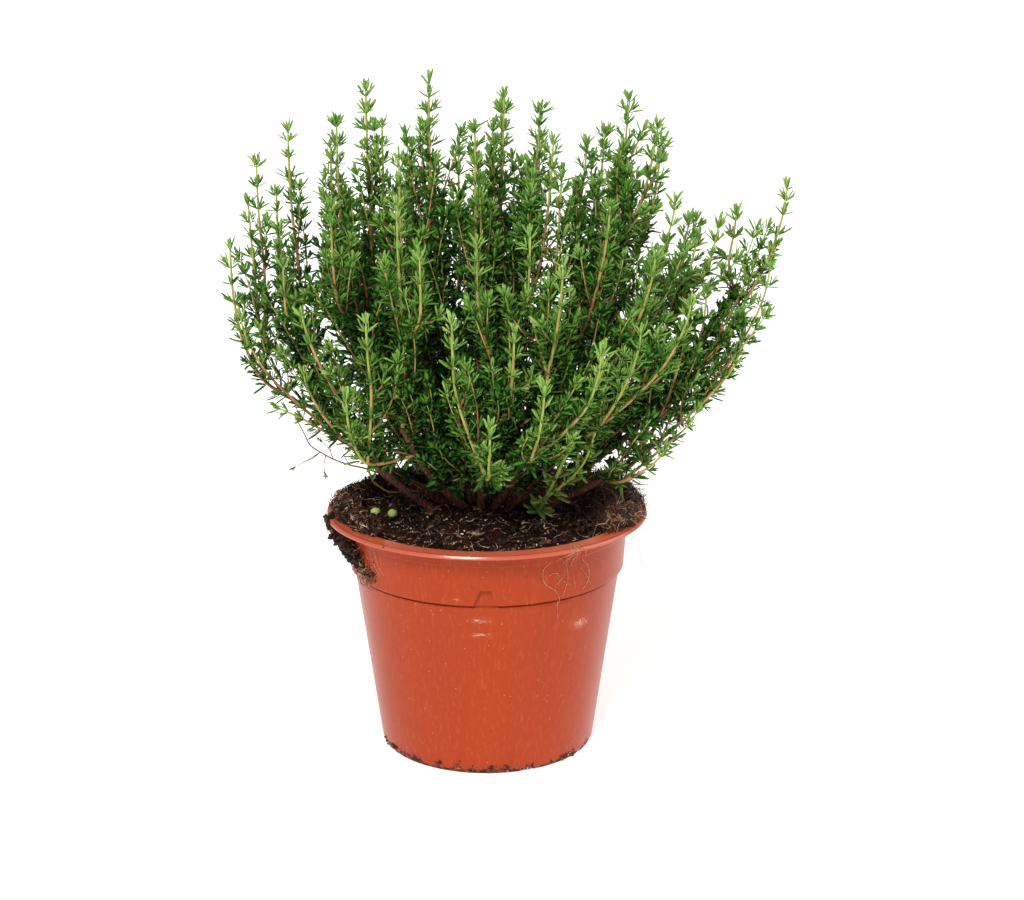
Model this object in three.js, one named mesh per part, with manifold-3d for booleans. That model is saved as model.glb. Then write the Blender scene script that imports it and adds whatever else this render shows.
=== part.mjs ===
// A thyme plant in a 13 cm nursery pot, in millimetres, +Z up.
// The origin is the centre of the pot's foot, on the surface that it stands on. The front is -Y.
import * as THREE from "three";
import { ConvexGeometry } from "three/addons/geometries/ConvexGeometry.js";
import { mergeVertices } from "three/addons/utils/BufferGeometryUtils.js";
import Module from "manifold-3d";

const wasm = await Module();
wasm.setup();

// Pot: an injection-moulded tub with a flat rim flange and a collar that stands proud of the wall.
const POT = {
  height: 98,
  footRadius: 43.7,
  footRound: 1.8,
  stepHeight: 75,
  wallRadiusAtStep: 54.0,
  collarRadiusAtStep: 55.5,
  bandHeight: 91,
  collarRadiusAtBand: 56.8,
  bandProud: 0.35,
  flangeRadius: 65,
  flangeThickness: 1.4,
  wall: 1.2,
  floor: 1.6,
  sides: 40,
};
const NOTCH = { count: 3, foot: 9.4, top: 4.1, height: 6.4 };
const FOOT = { padRadius: 17, ringWidth: 4.5, lift: 2.0, slot: 6 };
const DRAIN = { count: 8, radius: 4.2, away: 31, sides: 10 };

// Soil: peat up to the rim, with a low mound round the crown of the plant.
const GAP = 0.3;
const SOIL = { top: 95, moundHeight: 4, moundWidth: 22, bump: 0.9, sides: 26, rings: 5 };
const GRANULE = { radius: 1.8, sunk: 0.7, places: [[-45.4, 2.6], [-38, -5.4]] };

// Clumps that lie over the rim, each along an arc in degrees, at a radius from the pot's axis.
const CLUMPS = [
  { name: "spilled_soil", from: 150, to: 224, away: 57.8, level: 98.4, radius: 7.8, finish: "soil" },
  { name: "root_mat", from: -36, to: 40, away: 57.6, level: 99.8, radius: 7.6, finish: "root" },
];
const CLUMP = { steps: 8, sides: 7, end: 0.35, rough: 0.45, wander: 1.6 };

// Plant: woody stems fan out of the crown, and each carries leafy sprays whose tips are listed here.
const CROWN = { x: -3, y: 8, spread: 0.16, depth: 17 };
const RISE = { mean: 2.2, swing: 0.75 };
const WOOD = { foot: 1.7, tip: 1.1, sides: 5, steps: 4, to: 0.44 };
const SHOOT = { foot: 0.95, forkFoot: 0.88, tip: 0.7, sides: 4, steps: 4, forkSteps: 3 };
const START = { low: 0.7, fork: 0.28, bend: 0.24 };
const LEAF = { length: 6.8, width: 2.5, thickness: 0.95, widest: 0.5, past: 0.05 };
const LEAVES = { places: [0.12, 0.86], tipPlace: 0.9, low: 58, high: 42, raise: 10, jitter: 6 };
const CLEAR = { neck: 1.5, gap: 0.35 };

// Tips of the leafy sprays of each branch, as [x, y, z]. A spray with two tips forks.
const BRANCHES = [
  { name: "far_left", sprays: [[[-99, -10, 207], [-89, 0, 239]], [[-78, 15, 250], [-77, -25, 203]]] },
  { name: "left", sprays: [[[-58, 5, 254], [-58, -30, 227]], [[-46, 0, 268]]] },
  { name: "left_back", sprays: [[[-86, 38, 222], [-64, 44, 240]], [[-42, 32, 250]]] },
  {
    name: "low_left",
    sprays: [[[-71, -19, 159], [-95, -17, 181]], [[-68, -48, 188]]],
    spread: 0.26,
    rise: 0.9,
  },
  { name: "front_left", sprays: [[[-52, -50, 157], [-44, -50, 186]], [[-33, -32, 227], [-24, -46, 210]]] },
  { name: "centre_left", sprays: [[[-33, -13, 243], [-22, 5, 270]], [[-11, 17, 241]]] },
  { name: "centre", sprays: [[[-4, -10, 254], [7, 10, 264]], [[26, -8, 248], [21, 15, 258]]] },
  { name: "front", sprays: [[[2, -62, 148], [-12, -56, 187]], [[11, -52, 183], [-3, -38, 214]]] },
  { name: "front_right", sprays: [[[22, -66, 164], [43, -60, 176]], [[29, -48, 207], [17, -35, 216]]] },
  { name: "right", sprays: [[[47, -30, 226], [40, 22, 244]], [[66, -6, 254], [56, 8, 263]]], to: 0.6 },
  { name: "right_front", sprays: [[[58, -52, 182], [77, -45, 192]], [[64, -36, 208], [73, -14, 226]]] },
  {
    name: "far_right",
    sprays: [[[101, -16, 178], [109, -21, 202]], [[117, -2, 230], [98, 2, 219]]],
    to: 0.5,
    rise: 2.6,
  },
  { name: "low_right", sprays: [[[69, -34, 132], [82, -25, 145]], [[98, -24, 168]]], spread: 0.26 },
  { name: "back_left", sprays: [[[-60, 68, 216], [-32, 66, 238]], [[-24, 42, 254]]] },
  { name: "back", sprays: [[[-4, 76, 230], [22, 74, 240]], [[6, 46, 256]]] },
  { name: "back_right", sprays: [[[84, 52, 208], [56, 62, 230]], [[84, 18, 214], [48, 42, 246]]] },
];

const COLOURS = {
  pot: { color: 0xc4502a, roughness: 0.42, metalness: 0 },
  soil: { color: 0x2b1c14, roughness: 0.95, metalness: 0 },
  granule: { color: 0xa9c45c, roughness: 0.6, metalness: 0 },
  root: { color: 0x4a3022, roughness: 0.9, metalness: 0 },
  wood: { color: 0x6d4630, roughness: 0.8, metalness: 0 },
  leaf: { color: 0x3f7a2c, roughness: 0.5, metalness: 0 },
};

const mix = THREE.MathUtils.lerp;
const clamp01 = (value) => THREE.MathUtils.clamp(value, 0, 1);

// A repeatable random number from 0 to 1 for any set of whole numbers.
function chance(...keys) {
  const sum = keys.reduce((total, key, i) => total + key * (12.9898 + 65.243 * i), 7.31);
  const wave = Math.sin(sum) * 43758.5453;
  return wave - Math.floor(wave);
}

// Turns a closed geometry into a solid. Corners that share a place are merged first.
function solidOf(geometry) {
  const bare = geometry.clone();
  bare.deleteAttribute("normal");
  bare.deleteAttribute("uv");
  const merged = mergeVertices(bare, 1e-4);
  const corners = merged.index.array;
  const kept = [];
  for (let i = 0; i < corners.length; i += 3) {
    const [a, b, c] = [corners[i], corners[i + 1], corners[i + 2]];
    if (a !== b && b !== c && c !== a) kept.push(a, b, c);
  }
  const vertProperties = new Float32Array(merged.attributes.position.array);
  return new wasm.Manifold(new wasm.Mesh({ numProp: 3, vertProperties, triVerts: new Uint32Array(kept) }));
}

// A solid's largest connected body, so that no crumb that a cut has left stays behind.
function largestBody(solid) {
  return solid.decompose().reduce((best, body) => (body.volume() > best.volume() ? body : best));
}

// Joins solids into one body.
function fuse(solids) {
  return largestBody(solids.reduce((joined, solid) => joined.add(solid)));
}

function geometryOf(solid) {
  const { numProp, vertProperties, triVerts } = solid.getMesh();
  const position = new Float32Array((vertProperties.length / numProp) * 3);
  for (let i = 0; i < position.length / 3; i += 1) {
    position.set(vertProperties.subarray(i * numProp, i * numProp + 3), i * 3);
  }
  const geometry = new THREE.BufferGeometry();
  geometry.setAttribute("position", new THREE.BufferAttribute(position, 3));
  geometry.setIndex(new THREE.BufferAttribute(new Uint32Array(triVerts), 1));
  geometry.computeVertexNormals();
  return geometry;
}

// A solid of revolution about Z from [radius, height] pairs that go up the outside.
function revolve(profile, sides) {
  const points = profile.map(([radius, height]) => new THREE.Vector2(radius, height));
  return new THREE.LatheGeometry(points, sides).rotateX(Math.PI / 2);
}

function cylinder(radius, low, high, x, y, sides) {
  const geometry = new THREE.CylinderGeometry(radius, radius, high - low, sides);
  return solidOf(geometry.rotateX(Math.PI / 2).translate(x, y, (low + high) / 2));
}

// Outside radius of the wall below the collar, carried on upwards at the same slope.
function wallRadius(height) {
  const slope = (POT.wallRadiusAtStep - POT.footRadius) / (POT.stepHeight - POT.footRound);
  return POT.footRadius + slope * (height - POT.footRound);
}

// The trapezoid that is cut out of the collar's lower edge, down to the wall behind it.
function notchCutter() {
  const below = 0.6;
  const shape = new THREE.Shape([
    new THREE.Vector2(-NOTCH.foot / 2, -below),
    new THREE.Vector2(NOTCH.foot / 2, -below),
    new THREE.Vector2(NOTCH.foot / 2, 0),
    new THREE.Vector2(NOTCH.top / 2, NOTCH.height),
    new THREE.Vector2(-NOTCH.top / 2, NOTCH.height),
    new THREE.Vector2(-NOTCH.foot / 2, 0),
  ]);
  const prism = new THREE.ExtrudeGeometry(shape, { depth: 12, bevelEnabled: false });
  prism.rotateX(Math.PI / 2).translate(0, -50, POT.stepHeight);
  const low = POT.stepHeight - 2;
  const high = POT.stepHeight + NOTCH.height + 2;
  const core = revolve([[0, low], [wallRadius(low), low], [wallRadius(high), high], [0, high]], POT.sides);
  return solidOf(prism).subtract(solidOf(core));
}

function potGeometry() {
  const { height, wall, floor, footRadius, footRound, stepHeight, flangeRadius, flangeThickness } = POT;
  const ringInner = footRadius - FOOT.ringWidth;
  const inside = (z) => wallRadius(z) - wall;
  const floorTop = FOOT.lift + floor;
  const band = POT.collarRadiusAtBand + POT.bandProud;
  const under = height - flangeThickness;
  let pot = solidOf(revolve([
    [0, 0],
    [FOOT.padRadius, 0],
    [FOOT.padRadius + 1, FOOT.lift],
    [ringInner - 1, FOOT.lift],
    [ringInner, 0],
    [footRadius - footRound, 0],
    [footRadius, footRound],
    [POT.wallRadiusAtStep, stepHeight - 0.2],
    [POT.collarRadiusAtStep, stepHeight],
    [POT.collarRadiusAtBand, POT.bandHeight],
    [band, POT.bandHeight + 0.4],
    [band + 0.6, under],
    [flangeRadius, under],
    [flangeRadius, height - 0.4],
    [flangeRadius - 0.6, height],
    [inside(height) + 1.2, height],
    [inside(height), height - 1.2],
    [inside(floorTop + 2), floorTop + 2],
    [inside(floorTop) - 2, floorTop],
    [0, floorTop],
  ], POT.sides));
  const notch = notchCutter();
  for (let i = 0; i < NOTCH.count; i += 1) {
    pot = pot.subtract(notch.rotate([0, 0, (360 * i) / NOTCH.count]));
  }
  for (let i = 0; i < DRAIN.count; i += 1) {
    const turn = (2 * Math.PI * (i + 0.5)) / DRAIN.count;
    const [x, y] = [DRAIN.away * Math.cos(turn), DRAIN.away * Math.sin(turn)];
    pot = pot.subtract(cylinder(DRAIN.radius, -1, floorTop + 1, x, y, DRAIN.sides));
    if (i % 2) continue;
    const slot = new THREE.BoxGeometry(FOOT.ringWidth + 4, FOOT.slot, FOOT.lift);
    slot.translate(footRadius - FOOT.ringWidth / 2, 0, FOOT.lift / 2 - 0.5).rotateZ(turn);
    pot = pot.subtract(solidOf(slot));
  }
  return geometryOf(largestBody(pot));
}

// Height of the soil at a place: a mound round the crown, with lumps from three crossing waves.
function soilHeight(x, y) {
  const fromCrown = Math.hypot(x - CROWN.x, y - CROWN.y);
  const mound = SOIL.moundHeight * Math.exp(-((fromCrown / SOIL.moundWidth) ** 2));
  const lumps = Math.sin(0.33 * x + 1.1) * Math.cos(0.29 * y - 0.4)
    + 0.6 * Math.sin(0.71 * x - 0.53 * y) + 0.4 * Math.cos(0.97 * y + 0.61 * x + 2);
  return SOIL.top + mound + SOIL.bump * lumps;
}

// The root ball, before its holes: it fills the pot and its top follows soilHeight.
function soilBody() {
  const floorTop = FOOT.lift + POT.floor + GAP;
  const inside = (z) => wallRadius(z) - POT.wall - GAP;
  const edge = inside(SOIL.top);
  const corner = floorTop + 2.2;
  const profile = [[0, floorTop], [inside(floorTop) - 2.2, floorTop], [inside(corner), corner]];
  for (let ring = 0; ring <= SOIL.rings; ring += 1) {
    profile.push([edge * (1 - ring / SOIL.rings), SOIL.top]);
  }
  const geometry = revolve(profile, SOIL.sides);
  const { position } = geometry.attributes;
  for (let i = 0; i < position.count; i += 1) {
    const [x, y, z] = [position.getX(i), position.getY(i), position.getZ(i)];
    if (z < SOIL.top - 0.01) continue;
    const onEdge = Math.hypot(x, y) > edge - 0.01;
    position.setZ(i, onEdge ? SOIL.top - 0.5 : soilHeight(x, y));
  }
  return solidOf(geometry);
}

// A granule, a little flattened and part sunk in the soil, or with room to spare all round, its seat.
function granule([x, y], room = 0) {
  const geometry = new THREE.IcosahedronGeometry(GRANULE.radius + room, 1).scale(1.15, 1, 0.85);
  return solidOf(geometry.translate(x, y, soilHeight(x, y) + GRANULE.radius - GRANULE.sunk));
}

// The rim and the top of the collar, with a gap all round, for what lies over them.
// It also takes in the thin ring between the pot and the flat sides of the soil.
function rimRoom() {
  const low = POT.bandHeight - 9;
  const inner = (z) => wallRadius(z) - POT.wall - 3 * GAP;
  const outer = POT.collarRadiusAtBand + POT.bandProud + 0.6 + GAP;
  const under = POT.height - POT.flangeThickness - GAP;
  const top = POT.height + GAP;
  const lip = POT.flangeRadius + GAP;
  const outside = [[outer, low], [outer, under], [lip, under], [lip, top]];
  return solidOf(revolve([[inner(low), low], ...outside, [inner(top), top], [inner(low), low]], POT.sides));
}

// A clump over the rim: a lumpy roll along its arc, thin at both ends, less the pot and the soil under it.
function clumpGeometry({ from, to, away, level, radius }, key) {
  const shares = [...Array(CLUMP.steps + 1).keys()].map((i) => i / CLUMP.steps);
  const points = shares.map((share, i) => {
    const turn = THREE.MathUtils.degToRad(mix(from, to, share));
    const reach = away + CLUMP.wander * (chance(key, i) - 0.5);
    const height = level + chance(key, i, 1) - 0.5;
    return new THREE.Vector3(reach * Math.cos(turn), reach * Math.sin(turn), height);
  });
  const radii = shares.map((share, i) => {
    const body = mix(CLUMP.end, 1, Math.sin(Math.PI * share) ** 0.6);
    return radius * body * (1 - CLUMP.rough * chance(key, i, 2));
  });
  const under = soilBody().translate([0, 0, GAP]);
  return geometryOf(largestBody(tube(points, radii, CLUMP.sides).subtract(rimRoom()).subtract(under)));
}

// The line from a foot in the crown to a tip. It leaves low and turns upwards, more so on the left side.
function risingLine(foot, tip, t, mean) {
  const [x, y] = [tip.x - foot.x, tip.y - foot.y];
  const power = mean - (RISE.swing * x) / Math.hypot(x, y);
  const reach = 1 - (1 - t) ** power;
  return new THREE.Vector3(foot.x + x * reach, foot.y + y * reach, mix(foot.z, tip.z, t));
}

// A line that leaves another one at t = start and bends over to a tip of its own.
function leavingLine(parent, foot, tip, start, mean) {
  return (t) => {
    const share = 1 - (1 - clamp01((t - start) / START.bend)) ** 2;
    return parent(t).lerp(risingLine(foot, tip, t, mean), share);
  };
}

// The direction that a stem's first corner faces, square to the way that the stem runs there.
function cornerWay(tangent) {
  const way = new THREE.Vector3(0.6, 0.8, 0);
  return way.addScaledVector(tangent, -way.dot(tangent)).normalize();
}

// A closed tapered tube through points, as a cylinder whose rings are carried along them.
function tube(points, radii, sides) {
  const rings = points.length - 1;
  const geometry = new THREE.CylinderGeometry(1, 1, 1, sides, rings);
  const frames = points.map((point, i) => {
    const tangent = points[Math.min(i + 1, rings)].clone().sub(points[Math.max(i - 1, 0)]).normalize();
    const across = cornerWay(tangent);
    return { across, other: across.clone().cross(tangent) };
  });
  const { position } = geometry.attributes;
  for (let i = 0; i < position.count; i += 1) {
    const ring = Math.round((position.getY(i) + 0.5) * rings);
    const { across, other } = frames[ring];
    const place = points[ring].clone()
      .addScaledVector(across, position.getX(i) * radii[ring])
      .addScaledVector(other, position.getZ(i) * radii[ring]);
    position.setXYZ(i, place.x, place.y, place.z);
  }
  return solidOf(geometry);
}

// A leaf blade from its root, just past the middle of the stem, to its point, with a keel underneath.
function blade(root, direction, stemHeading, length) {
  const wide = direction.clone().cross(stemHeading).normalize();
  const up = wide.clone().cross(direction);
  const corner = (along, across, above) => root.clone()
    .addScaledVector(direction, along).addScaledVector(wide, across).addScaledVector(up, above);
  const widest = LEAF.widest * length;
  return solidOf(new ConvexGeometry([
    corner(-LEAF.past, 0, 0),
    corner(length, 0, 0),
    corner(widest, LEAF.width / 2, LEAF.thickness),
    corner(widest, -LEAF.width / 2, LEAF.thickness),
  ]));
}

// Shortest distance between two straight stretches, for keeping leaves clear of each other.
function distanceApart(a, b) {
  const first = a.to.clone().sub(a.from);
  const second = b.to.clone().sub(b.from);
  const between = a.from.clone().sub(b.from);
  const [aa, bb, ab] = [first.lengthSq(), second.lengthSq(), first.dot(second)];
  const [ar, br] = [first.dot(between), second.dot(between)];
  const spread = aa * bb - ab * ab;
  let s = spread > 1e-9 ? clamp01((ab * br - ar * bb) / spread) : 0;
  const t = clamp01((ab * s + br) / bb);
  s = clamp01((ab * t - ar) / aa);
  return a.from.clone().addScaledVector(first, s).distanceTo(b.from.clone().addScaledVector(second, t));
}

// Everything that a new leaf has to stay clear of, as stretches with a radius and the node they belong to.
const taken = [];

function takeLine(node, points, radii) {
  for (let i = 1; i < points.length; i += 1) {
    const radius = Math.max(radii[i - 1], radii[i]);
    taken.push({ node, from: points[i - 1], to: points[i], radius, family: "stem" });
  }
}

function isClear(stretch) {
  return taken.every((other) => {
    if (other.node === stretch.node && ["stem", stretch.family].includes(other.family)) return true;
    return distanceApart(stretch, other) > stretch.radius + other.radius + CLEAR.gap;
  });
}

// Points along a line from t = start to t = end, with radii that taper from foot to tip.
function sampled(line, start, end, steps, foot, tip) {
  const at = [...Array(steps + 1).keys()].map((i) => i / steps);
  return {
    points: at.map((share) => line(mix(start, end, share))),
    radii: at.map((share) => mix(foot, tip, share)),
  };
}

// Pairs of leaves on opposite faces of a square stem, each pair a quarter turn round from the last.
// Every stretch of the stem carries one pair near each end, and the first of them stays bare.
// A leaf that would touch another node is raised towards the stem, and left out if it still would.
function leavesAlong(node, key, points) {
  const stretches = points.length - 1;
  const blades = [];
  for (let leaf = 2; leaf < 4 * stretches; leaf += 1) {
    const pair = Math.floor(leaf / 2);
    const below = Math.floor(pair / 2);
    const within = pair === 2 * stretches - 1 ? LEAVES.tipPlace : LEAVES.places[pair % 2];
    const share = (below + within) / stretches;
    const root = points[below].clone().lerp(points[below + 1], within);
    const stem = points[below + 1].clone().sub(points[below]).normalize();
    const turn = 45 + 90 * pair + 180 * leaf + LEAVES.jitter * (chance(key, leaf) - 0.5);
    const round = cornerWay(stem).applyAxisAngle(stem, THREE.MathUtils.degToRad(turn));
    const size = LEAF.length * mix(0.85, 1.1, chance(key, leaf, 1));
    for (let raise = 0; raise < 3; raise += 1) {
      const open = THREE.MathUtils.degToRad(mix(LEAVES.low, LEAVES.high, share ** 2) - LEAVES.raise * raise);
      const direction = stem.clone().multiplyScalar(Math.cos(open));
      direction.addScaledVector(round, Math.sin(open));
      const from = root.clone().addScaledVector(direction, CLEAR.neck);
      const to = root.clone().addScaledVector(direction, size);
      const stretch = { node, from, to, radius: LEAF.width / 2, family: `${key}.${pair}` };
      if (isClear(stretch)) {
        taken.push(stretch);
        blades.push(blade(root, direction, stem, size));
        break;
      }
    }
  }
  return blades;
}

// The woody stem of a branch: it stands in the soil, bends over at the surface and tapers upwards.
function woodyStem(branch) {
  const tips = branch.sprays.flat();
  const aim = new THREE.Vector3();
  tips.forEach(([x, y, z]) => aim.add(new THREE.Vector3(x, y, z).divideScalar(tips.length)));
  const foot = new THREE.Vector3(CROWN.x, CROWN.y, 0).lerp(aim, branch.spread ?? CROWN.spread);
  foot.z = SOIL.top + SOIL.moundHeight * 0.6;
  const rise = branch.rise ?? RISE.mean;
  const line = (t) => risingLine(foot, aim, t, rise);
  const to = branch.to ?? WOOD.to;
  const { points, radii } = sampled(line, 0, to, WOOD.steps, WOOD.foot, WOOD.tip);
  points.unshift(foot.clone().setZ(foot.z - CROWN.depth));
  radii.unshift(WOOD.foot);
  return { foot, line, rise, to, points, radii };
}

// The room that a woody stem takes out of whatever it stands in or carries: itself and a gap all round.
function woodyRoom({ points, radii }) {
  return tube(points, radii.map((radius) => radius + GAP), WOOD.sides);
}

const branches = BRANCHES.map((branch) => ({ ...branch, wood: woodyStem(branch) }));
const fatWoods = branches.map(({ wood }) => woodyRoom(wood));

// The stems of every spray come first, so that each leaf is tested against all of them.
const sprays = branches.flatMap((branch, b) => {
  const { wood, name } = branch;
  takeLine(`woody_stem_${name}`, wood.points, wood.radii);
  return branch.sprays.map((tips, s) => {
    const node = `leafy_spray_${name}_${s + 1}`;
    const start = wood.to * (s === branch.sprays.length - 1 ? 1 : START.low);
    let parent = wood.line;
    const stems = tips.map(([x, y, z], i) => {
      const from = i ? mix(start, 1, START.fork) : start;
      const line = leavingLine(parent, wood.foot, new THREE.Vector3(x, y, z), from, wood.rise);
      parent = line;
      const steps = i ? SHOOT.forkSteps : SHOOT.steps;
      const foot = i ? SHOOT.forkFoot : SHOOT.foot;
      const { points, radii } = sampled(line, from, 1, steps, foot, SHOOT.tip);
      takeLine(node, points, radii);
      return { points, radii, key: 40 * b + 10 * s + i };
    });
    return { node, stems, wood: fatWoods[b] };
  });
});

function sprayGeometry({ node, stems, wood }) {
  const solids = stems.map(({ points, radii }) => tube(points, radii, SHOOT.sides));
  stems.forEach(({ points, key }) => solids.push(...leavesAlong(node, key, points)));
  return geometryOf(largestBody(fuse(solids).subtract(wood)));
}

function soilGeometry() {
  const holes = [...fatWoods, ...GRANULE.places.map((place) => granule(place, GAP))];
  return geometryOf(largestBody(holes.reduce((soil, hole) => soil.subtract(hole), soilBody())));
}

const plant = new THREE.Group();

function addNode(name, geometry, finish) {
  const mesh = new THREE.Mesh(geometry, new THREE.MeshStandardMaterial(finish));
  mesh.name = name;
  plant.add(mesh);
}

addNode("pot", potGeometry(), COLOURS.pot);
addNode("soil", soilGeometry(), COLOURS.soil);
GRANULE.places.forEach((place, i) => {
  addNode(`fertiliser_granule_${i + 1}`, geometryOf(granule(place)), COLOURS.granule);
});
CLUMPS.forEach((clump, i) => addNode(clump.name, clumpGeometry(clump, 500 + i), COLOURS[clump.finish]));
branches.forEach(({ name, wood }) => {
  addNode(`woody_stem_${name}`, geometryOf(tube(wood.points, wood.radii, WOOD.sides)), COLOURS.wood);
});
sprays.forEach((spray) => addNode(spray.node, sprayGeometry(spray), COLOURS.leaf));

export default plant;
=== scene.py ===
import sys
import itertools
import logging
import math
from abc import ABC, abstractmethod
from dataclasses import dataclass, field
from enum import Enum
from functools import partial, reduce
from typing import Callable, Sequence

import bpy
import numpy as np
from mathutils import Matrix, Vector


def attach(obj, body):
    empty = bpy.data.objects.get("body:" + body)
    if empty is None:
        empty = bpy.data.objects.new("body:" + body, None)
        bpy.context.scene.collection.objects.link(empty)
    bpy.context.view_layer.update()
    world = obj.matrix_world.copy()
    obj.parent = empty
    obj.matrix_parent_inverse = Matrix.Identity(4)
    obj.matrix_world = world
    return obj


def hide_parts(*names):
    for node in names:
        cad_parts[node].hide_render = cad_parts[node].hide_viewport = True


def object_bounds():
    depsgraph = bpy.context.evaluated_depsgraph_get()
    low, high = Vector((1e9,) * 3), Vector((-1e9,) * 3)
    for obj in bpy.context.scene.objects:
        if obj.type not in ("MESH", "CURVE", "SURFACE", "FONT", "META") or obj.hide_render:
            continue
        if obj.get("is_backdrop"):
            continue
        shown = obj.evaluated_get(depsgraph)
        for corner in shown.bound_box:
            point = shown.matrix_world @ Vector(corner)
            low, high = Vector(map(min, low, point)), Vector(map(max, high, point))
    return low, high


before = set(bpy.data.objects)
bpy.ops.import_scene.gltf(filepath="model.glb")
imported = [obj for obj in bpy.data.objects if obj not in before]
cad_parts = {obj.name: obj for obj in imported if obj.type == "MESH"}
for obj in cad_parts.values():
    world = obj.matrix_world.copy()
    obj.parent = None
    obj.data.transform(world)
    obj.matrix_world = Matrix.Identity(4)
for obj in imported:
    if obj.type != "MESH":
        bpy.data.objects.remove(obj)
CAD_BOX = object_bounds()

LOG = logging.getLogger("potted_thyme")
METRES = 0.001
BODY = "root"
GROWTH = "growth"  # colour attribute: share along, side of the leaf, age or tone, and a number of its own
FACTOR, A, B = 0, 6, 7  # the numbers of a colour mix's inputs
SPIRAL = 2.4  # radians from one shoot or leaf of a spiral to the next
Array = np.ndarray
Socket = bpy.types.NodeSocket
Colour = tuple[float, float, float, float]
Rows = tuple[tuple[float, ...], ...]
Faces = list[Array]
Line = Callable[[Array], Array]
Hold = Callable[[Array, Array], Array]
AddNode = Callable[..., Socket]


# ---- numbers and vectors


def mix(low: float | Array, high: float | Array, share: float | Array) -> float | Array:
    """Returns the value that lies at a share of the way from low to high."""
    return low + (high - low) * share


def eased(share: float | Array) -> float | Array:
    """Returns the share, held between 0 and 1, with a soft start and a soft end."""
    held = np.clip(share, 0.0, 1.0)
    return held * held * (3.0 - 2.0 * held)


def unit(vectors: Array) -> Array:
    """Returns the vectors with a length of 1."""
    return vectors / np.maximum(np.linalg.norm(vectors, axis=-1, keepdims=True), 1e-9)


def toward(turn: float) -> Array:
    """Returns the level direction at a turn in degrees from +X."""
    return np.array((math.cos(math.radians(turn)), math.sin(math.radians(turn)), 0.0))


def round_axis(away: Array | float, turn: Array, height: Array) -> Array:
    """Returns the places at a distance from the Z axis, a turn in radians from +X and a height."""
    return np.stack((away * np.cos(turn), away * np.sin(turn), height), axis=-1)


def followed(at: Sequence[float] | Array, stations: Array, points: Array) -> Array:
    """Returns the rows that lie between the rows of points, which stand at the given stations."""
    return np.stack([np.interp(at, stations, points[:, k]) for k in range(3)], axis=-1)


def square_to(stem: Array) -> Array:
    """Returns a direction that is square to a stem, the same one each time."""
    return unit(np.cross(stem, (0.31, 0.17, 0.93)) + 1e-6)


def chance(*keys: float) -> float:
    """Gives the repeatable random number that the solids also use.

    Args:
        keys: whole numbers that say which number is wanted.

    Returns:
        A number from 0 to 1.
    """
    total = 7.31 + sum(key * (12.9898 + 65.243 * i) for i, key in enumerate(keys))
    wave = math.sin(total) * 43758.5453
    return wave - math.floor(wave)


def value_noise(points: Array, size: float, seed: float = 0.0) -> Array:
    """Gives smooth noise in space.

    Args:
        points: places, one row each.
        size: the width of a lump, in the unit of the points.
        seed: picks another pattern.

    Returns:
        One number from -1 to 1 for each point.
    """
    cell = points / size
    base = np.floor(cell)
    part = eased(cell - base)
    total = np.zeros(len(points))
    for corner in itertools.product((0, 1), repeat=3):
        wave = np.sin((base + corner) @ np.array((12.9898, 78.233, 37.719)) + 4.7 * seed) * 43758.5453
        weight = np.prod(np.where(np.array(corner) > 0, part, 1.0 - part), axis=1)
        total += weight * (wave - np.floor(wave))
    return 2.0 * total - 1.0


def turned(vector: Array, axis: Array, angle: float) -> Array:
    """Returns a vector that is square to the axis, turned round it by an angle in radians."""
    return vector * math.cos(angle) + np.cross(axis, vector) * math.sin(angle)


# ---- meshes


def tubes(points: Array, radii: Array, sides: int) -> tuple[Array, Faces]:
    """Sweeps closed tubes along rows of points.

    Args:
        points: a row of places for each tube, of shape (tubes, places, 3).
        radii: the radius at each place.
        sides: the number of sides.

    Returns:
        The vertices, and the side faces and end caps.
    """
    count, places = points.shape[:2]
    tangent = unit(np.gradient(points, axis=1))
    middle = unit(points[:, -1] - points[:, 0])
    flat = np.abs(middle @ np.array((0.6, 0.8, 0.0))) > 0.85
    way = np.where(flat[:, None], np.array((0.0, 0.1, 1.0)), np.array((0.6, 0.8, 0.0)))[:, None, :]
    across = unit(way - tangent * np.sum(way * tangent, axis=-1, keepdims=True))
    other = np.cross(tangent, across)
    turn = 2.0 * np.pi * np.arange(sides) / sides
    ring = across[:, :, None] * np.cos(turn)[:, None] + other[:, :, None] * np.sin(turn)[:, None]
    vertices = points[:, :, None] + ring * radii[:, :, None, None]
    index = np.arange(count * places * sides).reshape(count, places, sides)
    nxt = np.roll(index, -1, axis=2)
    quads = np.stack((index[:, :-1], nxt[:, :-1], nxt[:, 1:], index[:, 1:]), axis=-1).reshape(-1, 4)
    return vertices.reshape(-1, 3), [quads, index[:, 0, ::-1], index[:, -1]]


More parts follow.
